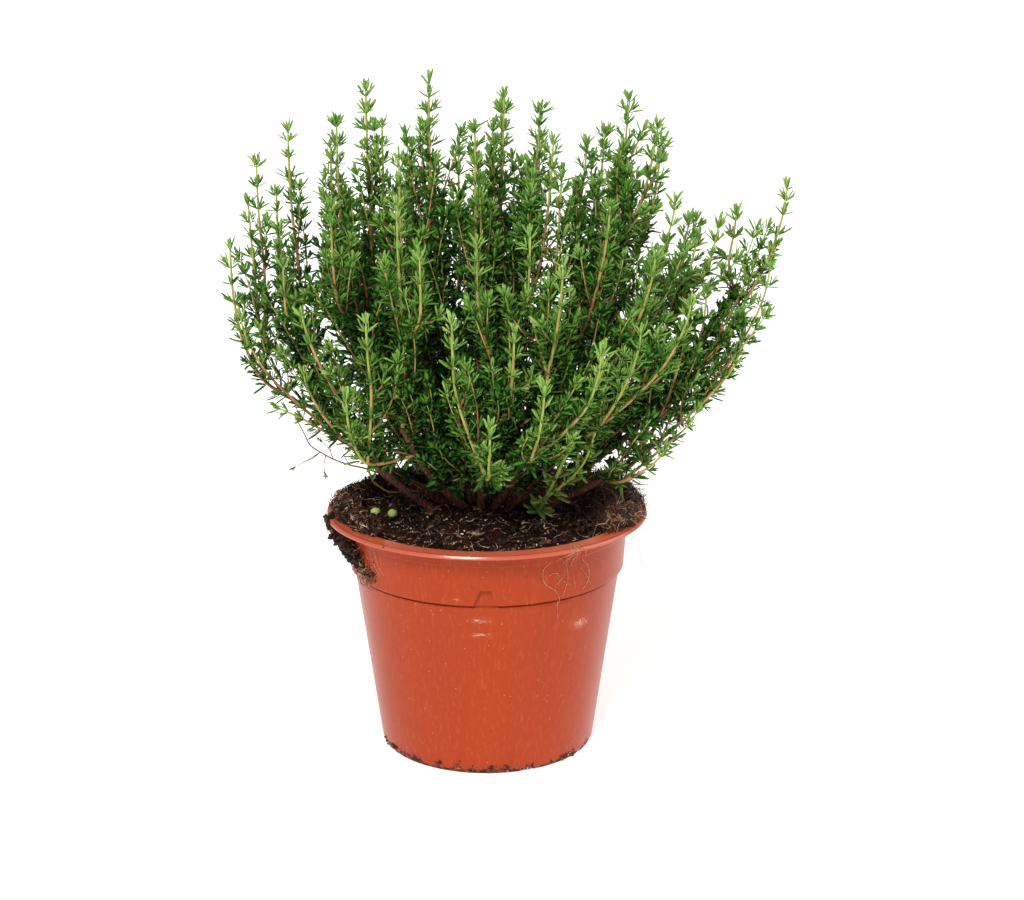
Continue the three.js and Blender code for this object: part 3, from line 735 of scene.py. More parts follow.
@dataclass
class NurseryPot:
    """The moulded tub: a tapered wall, a collar with three notches, a flat rim flange and a foot ring."""

    height: float = 98.0
    foot_radius: float = 43.7
    foot_round: float = 1.8
    step_height: float = 75.0
    wall_at_step: float = 54.0
    collar_at_step: float = 55.5
    band_height: float = 91.0
    collar_at_band: float = 56.8
    band_proud: float = 0.35
    flange_radius: float = 65.0
    flange: float = 1.4
    wall: float = 1.2
    floor: float = 1.6
    lift: float = 2.0
    ring_width: float = 4.5
    pad_radius: float = 17.0
    # A notch's width at its foot, its width at its top and its height.
    notch: tuple[float, float, float] = (9.4, 4.1, 6.4)
    notches: int = 3
    drains: int = 8
    drain_radius: float = 4.2
    drain_away: float = 31.0
    slot: float = 6.0
    # A nick in the rim: its turn in degrees from +X, its width and how deep it goes in.
    nick: tuple[float, float, float] = (-127.0, 0.7, 3.4)
    segments: int = 240
    sharp_angle: float = 28.0

    def wall_radius(self, height: Array | float) -> Array | float:
        """Returns the outside radius of the plain wall at a height, carried on up behind the collar."""
        slope = (self.wall_at_step - self.foot_radius) / (self.step_height - self.foot_round)
        return self.foot_radius + slope * (height - self.foot_round)

    def skin_radius(self, height: Array | float) -> Array:
        """Gives the outside radius of the wall, collar or flange.

        Args:
            height: one height or several.

        Returns:
            The radius at each.
        """
        share = (height - self.step_height) / (self.band_height - self.step_height)
        collar = mix(self.collar_at_step, self.collar_at_band, share) + 0.5 * (share > 1)
        upper = np.where(height < self.height - self.flange, collar, self.flange_radius)
        return np.where(height < self.step_height, self.wall_radius(height), upper)

    def profile(self) -> list[tuple[float, float]]:
        """Draws the section of the pot, with rounded edges, from the axis up the outside and back.

        Returns:
            (radius, height) pairs.
        """
        foot, pad, lift, step = self.foot_radius, self.pad_radius, self.lift, self.step_height
        ring, floor, band = foot - self.ring_width, lift + self.floor, self.collar_at_band + self.band_proud
        neck, rim, top, under = self.wall_at_step, self.flange_radius, self.height, self.height - self.flange
        inside = [self.wall_radius(z) - self.wall for z in (floor, floor + 2, top)]
        wall = [(self.wall_radius(z), z, 0) for z in np.linspace(8, step - 3, 18)]
        rise = self.band_height - step
        collar = [(mix(self.collar_at_step, self.collar_at_band, z / rise), step + z, 0)
                  for z in np.linspace(2.0, rise - 2.0, 7)]
        return rounded([
            (0, 0, 0), (pad, 0, 0.4), (pad + 1, lift, 0.3), (ring - 1, lift, 0.3), (ring, 0, 0.4),
            (foot - 0.8, 0, 0.5), (foot, self.foot_round, 0.8), *wall,
            (neck - 0.15, step - 1.3, 0.15), (neck - 0.75, step - 0.9, 0.15), (neck - 0.6, step - 0.1, 0.1),
            (self.collar_at_step, step, 0.3), *collar,
            (self.collar_at_band, self.band_height, 0.15), (band, self.band_height + 0.3, 0.15),
            (band + 0.5, under, 0.6), (rim, under, 0.2), (rim, under + 0.5, 0.15), (rim - 0.55, top, 0.2),
            (rim - 1.6, top, 0.25), (rim - 2.1, top - 0.25, 0.2),
            (inside[2] + 1.0, top - 0.25, 0.5), (inside[2], top - 1.6, 0.5),
            (inside[1], floor + 2, 0.8), (inside[0] - 2, floor, 0.8), (0, floor, 0)])

    @staticmethod
    def oblong(wide: float, low: float, high: float) -> list[tuple[float, float]]:
        """Returns the corners of an upright oblong about the middle, as (across, height)."""
        return [(-wide / 2, low), (wide / 2, low), (wide / 2, high), (-wide / 2, high)]

    @staticmethod
    def block(corners: Sequence[tuple[float, float]], near: float, far: float, turn: float) -> Piece:
        """Makes a prism that cuts the pot.

        Args:
            corners: the prism's outline as (across, height).
            near: where it starts, as a distance from the axis.
            far: where it ends.
            turn: the way that it points, in degrees from +X.

        Returns:
            The prism, not yet built.
        """
        way = toward(turn)
        side = np.array((-way[1], way[0], 0.0))
        rows = [way * away + side * across + np.array((0, 0, height))
                for away in (near, far) for across, height in corners]
        ring = np.arange(len(corners))
        nxt = (ring + 1) % len(ring)
        sides = np.stack((ring, nxt, nxt + len(ring), ring + len(ring)), axis=-1)
        cutter = Piece("cutter", "pot_plastic", [PLASTIC])
        cutter.add(np.array(rows), [sides, ring[::-1][None], (ring + len(ring))[None]], smooth=False)
        return cutter

    def cutters(self) -> list[Piece]:
        """Makes what is cut out of the turned tub: notches, drain holes, foot slots and a nick in the rim.

        Returns:
            The cutting pieces, not yet built.
        """
        foot, top, high = self.notch[0] / 2, self.notch[1] / 2, self.notch[2]
        z = self.step_height
        outline = [(-foot, z - 0.6), (foot, z - 0.6), (foot, z), (top, z + high), (-top, z + high),
                   (-foot, z)]
        near = self.wall_radius(z + high / 2) + 0.02 - 0.4
        made = [self.block(outline, near, 62.0, -90 + 360 * i / self.notches) for i in range(self.notches)]
        for i in range(self.drains):
            turn = 360 * (i + 0.5) / self.drains
            hole = Piece("cutter", "pot_plastic", [PLASTIC])
            place = toward(turn) * self.drain_away
            hole.add(*tubes(np.array((place + (0, 0, -1), place + (0, 0, 6)))[None],
                            np.full((1, 2), self.drain_radius), 32))
            made.append(hole)
            if i % 2 == 0:
                near = self.foot_radius - self.ring_width - 2
                made.append(self.block(self.oblong(self.slot, -1, 1.5), near, 48, turn))
        turn, wide, deep = self.nick
        rim = self.oblong(wide, self.height - 0.8, self.height + 1)
        return made + [self.block(rim, self.flange_radius - deep, 67, turn)]

    def build(self) -> None:
        """Turns the tub, cuts it and dresses it in plastic."""
        piece = Piece("moulded_pot", "pot_plastic", [PLASTIC], ["pot"])
        piece.add(*revolved(self.profile(), self.segments))
        made = piece.build()
        cutters = [cutter.build() for cutter in self.cutters()]
        for cutter in cutters:
            cut = made.modifiers.new("cut", "BOOLEAN")
            cut.operation, cut.solver, cut.object = "DIFFERENCE", "EXACT", cutter
        whole = bpy.data.meshes.new_from_object(made.evaluated_get(bpy.context.evaluated_depsgraph_get()))
        made.modifiers.clear()
        made.data = whole
        whole.set_sharp_from_angle(angle=math.radians(self.sharp_angle))
        for cutter in cutters:
            bpy.data.objects.remove(cutter)


# ---- soil, roots and granules


@dataclass
class Scatter:
    """Loose bits on a piece: angular crumbs and thin curved threads.

    Attributes:
        seed: picks its random numbers.
        piece: the piece that the bits are added to.
        finish: the index of their finish on that piece.
    """

    seed: int
    piece: Piece
    finish: int = 0

    def __post_init__(self) -> None:
        """Starts the random numbers."""
        self.random = np.random.default_rng(self.seed)

    def skewed(self, count: int, low: float, span: float, power: float = 1.0) -> Array:
        """Returns random values from low to low + span, most of them low where the power is above 1."""
        return low + span * self.random.uniform(0, 1, count) ** power

    def crumbs(self, places: Array, sizes: Array, tones: Array, lowest: float = -np.inf) -> None:
        """Adds an irregular lump of 20 faces at each place.

        Args:
            places: the middle of each lump.
            sizes: the mean radius of each lump.
            tones: the tone of each lump, from 0 for black to 1 for white.
            lowest: the height that no lump reaches below.
        """
        gold = (1 + math.sqrt(5)) / 2
        ball = unit(np.array([p for a, b in itertools.product((-1, 1), (-gold, gold))
                              for p in ((0, a, b), (a, b, 0), (b, 0, a))], dtype=float))
        near = np.linalg.norm(ball[:, None] - ball, axis=-1)
        faces = [(a, b, c) for a, b, c in itertools.combinations(range(12), 3)
                 if max(near[a, b], near[b, c], near[a, c]) < 1.2]
        faces = [(a, b, c) if np.dot(np.cross(ball[b] - ball[a], ball[c] - ball[a]), ball[a]) > 0
                 else (a, c, b) for a, b, c in faces]
        count = len(places)
        stretch = self.random.uniform(0.6, 1.35, (count, 1, 3))
        lumpy = ball * self.random.uniform(0.7, 1.25, (count, 12, 1)) * stretch
        vertices = (places[:, None] + lumpy * sizes[:, None, None]).reshape(-1, 3)
        vertices[:, 2] = np.maximum(vertices[:, 2], lowest)
        rows = (np.array(faces) + 12 * np.arange(count)[:, None, None]).reshape(-1, 3)
        growth = growth_of(np.repeat(tones, 12), len(vertices))
        self.piece.add(vertices, [rows], self.finish, growth, smooth=False)

    def threads(self, starts: Array, ways: Array, lengths: Array, thick: Array,
                tones: Array, hold: Hold, curl: float = 0.9, places: int = 7) -> None:
        """Adds a curved thread from each start.

        Args:
            starts: where each thread begins.
            ways: the way that it sets off.
            lengths: its length.
            thick: its radius.
            tones: its tone, from 0 for black to 1 for white.
            hold: moves the points to where they may be, given the points and the share along the thread.
            curl: how far it turns on its way, in radians.
            places: the points along it.
        """
        count = len(starts)
        bend = unit(self.random.normal(size=(count, 3)))
        again = unit(self.random.normal(size=(count, 3)))
        share = np.linspace(0.0, 1.0, places)[None, :, None]
        wave = np.sin(2.5 * share * np.pi) * 0.35
        way = unit(ways[:, None] + curl * (bend[:, None] * share + again[:, None] * wave))
        step = (lengths / (places - 1))[:, None, None]
        run = np.concatenate((np.zeros((count, 1, 3)), np.cumsum(way[:, 1:] * step, axis=1)), axis=1)
        share = share[:, :, 0]
        path = hold(starts[:, None] + run, share)
        vertices, faces = tubes(path, thick[:, None] * (1 - 0.7 * share ** 2), 3)
        growth = growth_of(np.repeat(tones, places * 3), len(vertices))
        self.piece.add(vertices, faces, self.finish, growth)


@dataclass
class RootBall:
    """The peat that fills the pot: a lumpy top with a low mound, under crumbs, chips and fine roots."""

    pot: NurseryPot
    gap: float = 0.3
    top: float = 95.0
    mound_height: float = 4.0
    mound_width: float = 22.0
    bump: float = 0.9
    crown: tuple[float, float] = (-3.0, 8.0)
    beads: Rows = ((-45.4, 2.6), (-38.0, -5.4))
    rings: int = 64
    segments: int = 220
    crumb_count: int = 2300
    thread_count: int = 1200
    # The share of crumbs and of threads that are darker than chalk white.
    dark_crumbs: float = 0.68
    dark_threads: float = 0.80
    # Larger splinters that lie on the peat as (x, y, heading in degrees, length, radius, tone).
    splinters: Rows = (
        (-5, -32.5, 100, 3.4, 0.26, 0.9), (-5, -32.5, 60, 3.6, 0.24, 0.84), (-5, -32.5, 20, 4.5, 0.26, 0.92),
        (-5, -32.5, -20, 4, 0.24, 0.86), (-5, -32.5, -60, 3.4, 0.22, 0.8), (-5, -32.5, 150, 2.6, 0.24, 0.9),
        (14, -18, 20, 3.2, 0.30, 0.94), (14.5, -17.5, 75, 2.4, 0.28, 0.9), (22.8, -23, 80, 3.6, 0.34, 0.96),
        (23, -23.5, 20, 2, 0.30, 0.9), (26, -6.5, 5, 3.2, 0.28, 0.9), (29.5, -6.4, -10, 2.8, 0.26, 0.84),
        (33, -11, -115, 8, 0.34, 0.62), (-23, -17, 40, 6, 0.36, 0.55), (-19, -26, -25, 7, 0.3, 0.66),
        (4, -27, 160, 6.5, 0.32, 0.6), (9, -36, 15, 5, 0.4, 0.5))

    def height(self, x: Array, y: Array) -> Array:
        """Gives the height of the peat, as the solids have it.

        Args:
            x: how far right each place is.
            y: how far back each place is.

        Returns:
            The height at each place.
        """
        away = np.hypot(x - self.crown[0], y - self.crown[1])
        mound = self.mound_height * np.exp(-((away / self.mound_width) ** 2))
        lumps = (np.sin(0.33 * x + 1.1) * np.cos(0.29 * y - 0.4) + 0.6 * np.sin(0.71 * x - 0.53 * y)
                 + 0.4 * np.cos(0.97 * y + 0.61 * x + 2))
        return self.top + mound + self.bump * lumps

    def inside(self, height: float) -> float:
        """Returns the radius of the root ball at a height."""
        return self.pot.wall_radius(height) - self.pot.wall - self.gap

    def ground(self) -> None:
        """Builds the ball itself, with its top raised into lumps of three sizes."""
        bottom = self.pot.lift + self.pot.floor + self.gap
        edge = self.inside(self.top)
        chamfer = 2.2
        profile = [(0, bottom), (self.inside(bottom) - chamfer, bottom),
                   (self.inside(bottom + chamfer), bottom + chamfer)]
        profile += [(edge * (1 - i / self.rings), self.top) for i in range(self.rings)] + [(0, self.top)]
        vertices, faces = revolved(profile, self.segments)
        on_top = vertices[:, 2] > self.top - 0.01
        x, y = vertices[:, 0], vertices[:, 1]
        flat = vertices * (1, 1, 0)
        rough = (0.9 * value_noise(flat, 5.0, 1) + 0.7 * value_noise(flat, 2.2, 2)
                 + 0.4 * value_noise(flat, 1.0, 3))
        to_edge = eased((edge - np.hypot(x, y)) / 5.0)
        for bead_x, bead_y in self.beads:
            rough = rough * eased((np.hypot(x - bead_x, y - bead_y) - 1.0) / 3.0)
        raised = mix(self.top - 0.5, self.height(x, y) + rough, to_edge)
        vertices[:, 2] = np.where(on_top, raised, vertices[:, 2])
        piece = Piece("peat_root_ball", "peat", [PEAT], ["soil"])
        piece.add(vertices, faces)
        piece.build()

    def litter(self) -> None:
        """Builds the crumbs, threads and splinters that lie on the peat."""
        piece = Piece("peat_crumbs", "peat", [FIBRE])
        scatter = Scatter(11, piece)
        random = scatter.random
        x, y = self.spots(random, self.crumb_count, 0.8)
        count = len(x)
        sizes = scatter.skewed(count, 0.22, 1.0, 4)
        height = self.height(x, y) + 0.35 * sizes + random.uniform(-0.5, 0.5, count)
        tones = scatter.skewed(count, 0.08, 0.64, 1.5)
        pale = random.uniform(0, 1, count) > self.dark_crumbs
        tones = np.where(pale, random.uniform(0.78, 1.0, count), tones)
        sizes = np.where(pale, 0.32 * sizes + 0.15, sizes)
        scatter.crumbs(np.stack((x, y, height), axis=-1), sizes, tones)

        x, y = self.spots(random, self.thread_count, 2.5)
        count = len(x)
        starts = np.stack((x, y, self.height(x, y) + 0.5), axis=-1)
        heading = random.uniform(0, 2 * np.pi, count)
        ways = unit(round_axis(1.0, heading, random.uniform(-0.1, 0.4, count)))
        lengths = scatter.skewed(count, 1.5, 5.5, 2)
        tones = scatter.skewed(count, 0.2, 0.6, 1.2)
        tones = np.where(random.uniform(0, 1, count) > self.dark_threads, 0.98, tones)
        scatter.threads(starts, ways, lengths, random.uniform(0.05, 0.14, count), tones, self.lie)

        x, y, heading, lengths, thick, tones = np.array(self.splinters).T
        starts = np.stack((x, y, self.height(x, y) + 0.9), axis=-1)
        ways = unit(round_axis(1.0, np.radians(heading), np.full(len(x), 0.05)))
        scatter.threads(starts, ways, lengths, thick, tones, self.lie, curl=0.25)
        piece.build()

    def spots(self, random: np.random.Generator, count: int, margin: float) -> tuple[Array, Array]:
        """Picks places on top of the peat, clear of the beads.

        Args:
            random: the random numbers to use.
            count: how many to try.
            margin: how far to stay from the edge.

        Returns:
            x and y of each place.
        """
        away = (self.inside(self.top) - margin) * np.sqrt(random.uniform(0, 1, count))
        turn = random.uniform(0, 2 * np.pi, count)
        x, y = away * np.cos(turn), away * np.sin(turn)
        clear = np.min([np.hypot(x - bead_x, y - bead_y) for bead_x, bead_y in self.beads], axis=0) > 2.6
        return x[clear], y[clear]

    def lie(self, path: Array, share: Array) -> Array:
        """Holds threads on the peat, looser towards their ends.

        Args:
            path: the points of each thread.
            share: the share of the thread that each point stands for.

        Returns:
            The points, moved up or down.
        """
        x, y, height = np.moveaxis(path, -1, 0)
        ground = self.height(x, y)
        return np.stack((x, y, ground + np.clip(height - ground, 0.3, 0.7 + 2.0 * share ** 2)), axis=-1)

    def build(self) -> None:
        """Builds the root ball and what lies on it."""
        self.ground()
        self.litter()


@dataclass
class RimClump:
    """A clump that lies over the rim along an arc, as a lumpy core under crumbs and threads.

    Attributes:
        pot: the pot whose rim it lies on.
        node: the solid that has its form, or a name of its own.
        slot: the record's slot of its finish.
        key: picks its random numbers.
        start: where its arc starts, in degrees from +X.
        end: where its arc ends.
        away: the distance of its middle line from the axis.
        level: the height of its middle line.
        radius: how thick it is at most.
        tone: how light its lightest bits are.
        crumb_count: the number of its crumbs.
        thread_count: the number of its threads.
        thread_length: the length of its longest threads.
        looseness: how far the ends of its threads stand off.
        solid: whether it stands for one of the solids.
    """

    pot: NurseryPot
    node: str
    slot: str
    key: int
    start: float
    end: float
    away: float
    level: float
    radius: float
    tone: float
    crumb_count: int
    thread_count: int
    thread_length: float
    looseness: float
    solid: bool = True
    end_share: float = 0.35
    rough: float = 0.45
    wander: float = 1.6
    steps: int = 8
    core_share: float = 0.84
    core_tone: float = 0.16

    def path(self) -> tuple[Array, Array]:
        """Lays the clump out as the solids have it, on a finer curve.

        Returns:
            The middle line, and the radius at each of its points.
        """
        share = np.arange(self.steps + 1) / self.steps
        aside, up, thin = (np.array([chance(self.key, i, *more) for i in range(self.steps + 1)])
                           for more in ((), (1,), (2,)))
        body = mix(self.end_share, 1.0, np.sin(np.pi * share).clip(0) ** 0.6)
        rows = (self.away + self.wander * (aside - 0.5), np.radians(mix(self.start, self.end, share)),
                self.level + up - 0.5, self.radius * body * (1 - self.rough * thin))
        away, turn, height, radii = (np.interp(np.linspace(0, 1, 64), share, row) for row in rows)
        return round_axis(away, turn, height), radii

    def surface_points(self, count: int, random: np.random.Generator) -> tuple[Array, Array]:
        """Picks places on the clump.

        Args:
            count: how many.
            random: the random numbers to use.

        Returns:
            The places, and the way out of the clump at each.
        """
        points, radii = self.path()
        pick = random.integers(0, len(points) - 1, count)
        middle = mix(points[pick], points[pick + 1], random.uniform(0, 1, (count, 1)))
        outward = unit(middle * (1, 1, 0))
        turn = random.uniform(-0.75 * np.pi, 0.75 * np.pi, count)[:, None]
        out = outward * np.sin(turn) + np.array((0.0, 0.0, 1.0)) * np.cos(turn)
        return middle + out * radii[pick][:, None] * random.uniform(0.80, 1.0, (count, 1)), out

    def rested(self, points: Array) -> Array:
        """Lifts points onto the flange where they would sink into the rim.

        Args:
            points: places, in rows of any number.

        Returns:
            The places, lifted.
        """
        away = np.linalg.norm(points[..., :2], axis=-1)
        inner = self.pot.wall_radius(self.pot.height) - self.pot.wall - 0.6
        floor = np.where((away > inner) & (away < self.pot.flange_radius), self.pot.height + 0.1, -np.inf)
        return np.concatenate((points[..., :2], np.maximum(points[..., 2], floor)[..., None]), axis=-1)

    def cling(self, path: Array, share: Array) -> Array:
        """Holds threads against the clump, looser towards their ends.

        Args:
            path: the points of each thread.
            share: the share of the thread that each point stands for.

        Returns:
            The points, moved in or out.
        """
        points, radii = self.path()
        flat = path.reshape(-1, 3)
        near = np.argmin(np.linalg.norm(flat[:, None] - points[None], axis=-1), axis=1)
        way = flat - points[near]
        loose = (0.4 + self.looseness * np.broadcast_to(share, path.shape[:2]) ** 3).ravel()
        held = np.clip(np.linalg.norm(way, axis=-1), 0.8 * radii[near], radii[near] + loose)
        return self.rested(points[near] + unit(way) * held[:, None]).reshape(path.shape)

    def build(self) -> None:
        """Builds the core, the crumbs and the threads."""
        piece = Piece(f"{self.node}_clump", self.slot, [PEAT, FIBRE], [self.node] if self.solid else [])
        scatter = Scatter(self.key, piece, 1)
        random = scatter.random
        points, radii = self.path()
        vertices, faces = lumpy_tube(points, radii * self.core_share, 28, ((0.8, 3.0, 5), (0.5, 1.3, 6)))
        growth = np.full((len(vertices), 4), self.core_tone)
        piece.add(self.rested(vertices), faces, int(self.slot == "fine_roots"), growth)
        places, _ = self.surface_points(self.crumb_count, random)
        sizes = scatter.skewed(self.crumb_count, 0.3, 0.9, 3)
        scatter.crumbs(self.rested(places), sizes, scatter.skewed(self.crumb_count, 0.04, self.tone, 2.6))
        starts, out = self.surface_points(self.thread_count, random)
        around = unit(np.cross(out, (0.0, 0.0, 1.0)) + random.normal(scale=0.9, size=out.shape))
        lengths = self.thread_length * random.uniform(0.3, 1.0, self.thread_count)
        tones = scatter.skewed(self.thread_count, 0.24, self.tone, 1.1)
        thick = random.uniform(0.08, 0.22, self.thread_count)
        scatter.threads(starts, around, lengths, thick, tones, self.cling, 1.6, 9)
        piece.build()


@dataclass
class ClingingSoil:
    """Soil that ran over the rim at the left: a lump down the wall, with crumbs and fine roots in it."""

    pot: NurseryPot
    # The middle of the lump as (distance from the axis, turn in degrees from +X, height, radius).
    body: Rows = (
        (62.5, 190, 97.6, 1.6), (63.4, 194, 95.8, 2.9), (61.6, 197, 92.4, 3.6), (60.2, 200.5, 89.6, 3.5),
        (59, 204.5, 86.6, 2.9), (58.2, 208, 84, 2.1), (57.4, 211.5, 81.4, 1.3), (56.8, 214, 79.6, 0.6))
    # The film of fine crumbs under it runs from the first turn and height to the second.
    film_turns: tuple[float, float] = (190.0, 220.0)
    film_heights: tuple[float, float] = (95.5, 80.0)
    under_flange: float = 96.2
    crumb_count: int = 620
    film_count: int = 200
    thread_count: int = 240

    def off_wall(self, points: Array, clear: float) -> Array:
        """Moves points out until they clear the pot's skin.

        Args:
            points: one place in each row.
            clear: how far from the skin they stay.

        Returns:
            The places, moved out.
        """
        away = np.linalg.norm(points[:, :2], axis=-1)
        wall = self.pot.skin_radius(np.minimum(points[:, 2], self.pot.height)) + clear
        wall = np.where(points[:, 2] > self.pot.height, 0.0, wall)
        return points * np.stack((np.maximum(1.0, wall / away),) * 2 + (np.ones_like(away),), axis=-1)

    def build(self) -> None:
        """Builds the lump, the crumbs in it, the film of crumbs and the threads."""
        piece = Piece("clinging_soil", "peat", [PEAT, FIBRE])
        scatter = Scatter(83, piece, 1)
        random = scatter.random
        away, turn, height, radii = smooth_path(np.array(self.body), 40).T
        middle = round_axis(away, np.radians(turn), height)
        vertices, faces = lumpy_tube(middle, 0.85 * radii, 20, ((0.7, 2.4, 8), (0.4, 1.1, 9)))
        piece.add(self.off_wall(vertices, 0.05), faces)

        count = self.crumb_count
        pick = random.integers(0, len(middle), count)
        out = unit(random.normal(size=(count, 3)))
        places = middle[pick] + out * (radii[pick] * random.uniform(0.7, 1.12, count))[:, None]
        sizes = scatter.skewed(count, 0.3, 0.8, 2.4)
        scatter.crumbs(self.off_wall(places, 0.4), sizes, scatter.skewed(count, 0.04, 0.6, 1.9))

        count = self.film_count
        share = random.uniform(0, 1, count)
        height = mix(*self.film_heights, share) + random.normal(0, 2.2, count)
        height = np.clip(height, 78.0, self.under_flange)
        sizes = scatter.skewed(count, 0.16, 0.5, 2.5)
        away = self.pot.skin_radius(height) + 0.5 * sizes
        places = round_axis(away, np.radians(mix(*self.film_turns, share)), height)
        scatter.crumbs(places, sizes, scatter.skewed(count, 0.05, 0.6, 1.6))

        count = self.thread_count
        pick = random.integers(6, len(middle), count)
        starts = middle[pick] + unit(random.normal(size=(count, 3))) * radii[pick][:, None]
        ways = unit(random.normal(size=(count, 3)) * (1.0, 1.0, 0.6) + (0.35, -0.3, -0.8))
        lengths = random.uniform(3.0, 11.0, count)
        tones = scatter.skewed(count, 0.35, 0.6)
        thick = random.uniform(0.06, 0.16, count)
        scatter.threads(self.off_wall(starts, 0.3), ways, lengths, thick, tones, self.cling, 1.2, 9)
        piece.build()

    def cling(self, path: Array, share: Array) -> Array:
        """Holds threads close to the wall.

        Args:
            path: the points of each thread.
            share: the share of the thread that each point stands for.

        Returns:
            The points, moved in or out.
        """
        away = np.hypot(path[..., 0], path[..., 1])
        height = np.minimum(path[..., 2], self.under_flange)
        wall = self.pot.skin_radius(height)
        held = np.clip(away, wall + 0.15, wall + 3.6 - 1.6 * share)
        return np.stack((path[..., 0] * held / away, path[..., 1] * held / away, height), axis=-1)


@dataclass
class Granule:
    """A fertiliser bead, a little flattened and part sunk in the peat."""

    soil: RootBall
    number: int
    place: tuple[float, float]
    radius: float = 1.8
    sunk: float = 0.7
    settled: float = 0.2

    def build(self) -> None:
        """Builds the bead as a turned form with a slightly uneven skin."""
        turn = np.linspace(-np.pi / 2, np.pi / 2, 19)
        profile = [(self.radius * math.cos(t) if 0 < i < 18 else 0.0, 0.95 * self.radius * math.sin(t))
                   for i, t in enumerate(turn)]
        vertices, faces = revolved(profile, 32)
        vertices = vertices * (1.15, 1.0, 1.0) * (1 + 0.10 * value_noise(vertices, 0.8, self.number))[:, None]
        x, y = self.place
        vertices = vertices + (x, y, float(self.soil.height(x, y)) + self.radius - self.sunk + self.settled)
        node = f"fertiliser_granule_{self.number}"
        piece = Piece(f"fertiliser_bead_{self.number}", "granule", [BEAD], [node])
        piece.add(vertices, faces)
        piece.build()


@dataclass
class StrayRoots:
    """Hair-fine roots that hang over the rim and lie on the outside of the wall."""

    pot: NurseryPot
    # Each root as (turn in degrees from +X, height) places on the pot's skin.
    on_skin: tuple[Rows, ...] = (
        ((-58.6, 98.6), (-57.5, 92), (-55.8, 84), (-57.5, 76.8), (-59, 74.4), (-58.6, 70), (-58, 66)),
        ((-57.6, 98.6), (-60.2, 92.4), (-65.8, 90.2), (-67.2, 86.6), (-65.7, 82.4), (-61.2, 79), (-59.2, 75),
         (-59.6, 72)),
        ((-56.6, 98.6), (-58.6, 90), (-60.4, 84.5), (-56, 81.5), (-52, 78)),
        ((-55.8, 98.6), (-52, 90.5), (-47.5, 84), (-43.5, 79), (-42, 74.5)),
        ((-57, 98.6), (-54.6, 88.5), (-52.8, 83), (-51.6, 78)),
        ((-54, 98.6), (-47, 91), (-40, 88), (-34.6, 85.5)),
        ((-59.4, 98.6), (-56.4, 90.5), (-57.8, 85), (-61, 81.5)),
        ((-49, 90), (-45.4, 86), (-44.6, 80.5), (-47.6, 77)),
        ((-64.6, 85.8), (-62.6, 86.6), (-60.6, 86), (-59.8, 84.4)),
        ((-139, 92), (-138, 86), (-135, 82)), ((-143, 90), (-140, 84.5), (-136.5, 81.2)),
        ((-146, 88), (-142, 83), (-137, 80.4)))
    # Roots that hang free outside the right edge, as (x, y, z).
    free: tuple[Rows, ...] = (
        ((56, -26, 101), (58.4, -28.6, 100.6), (59.6, -29.4, 98.2), (60.4, -29.6, 95), (60.3, -30, 90.2),
         (60.9, -30, 86.1), (61.8, -30, 82.8)),
        ((58, -8, 101.5), (64.6, -9.6, 101.2), (66.4, -10.6, 97.6), (66.2, -11.6, 93)),
        ((60, 4, 102), (66.5, 2, 101.5), (69, 1, 99.6)))
    thickness: float = 0.12
    clear: float = 0.25
    tones: tuple[float, float] = (0.80, 0.90)

    def places(self) -> list[Array]:
        """Lays the roots out. One that starts on the rim bends over its lip first.

        Returns:
            The points of each root.
        """
        pot = self.pot
        made = []
        for root in self.on_skin:
            row = []
            for turn, height in root:
                on_rim = height > pot.height - pot.flange - 0.1
                away = pot.flange_radius - 3.0 if on_rim else float(pot.skin_radius(height)) + self.clear
                row.append(toward(turn) * away + (0, 0, height))
                if on_rim and len(row) == 1:
                    row.append(toward(turn) * (pot.flange_radius + self.clear) + (0, 0, pot.height - 0.7))
            made.append(np.array(row))
        return made + [np.array(root, dtype=float) for root in self.free]

    def build(self) -> None:
        """Builds the roots as thin tubes on smooth curves."""
        piece = Piece("stray_roots", "fine_roots", [FIBRE])
        for i, row in enumerate(self.places()):
            radii = np.linspace(self.thickness, 0.4 * self.thickness, 40)
            vertices, faces = tubes(smooth_path(row, 40)[None], radii[None], 5)
            piece.add(vertices, faces, 0, growth_of(mix(*self.tones, chance(i, 3)), len(vertices)))
        piece.build()


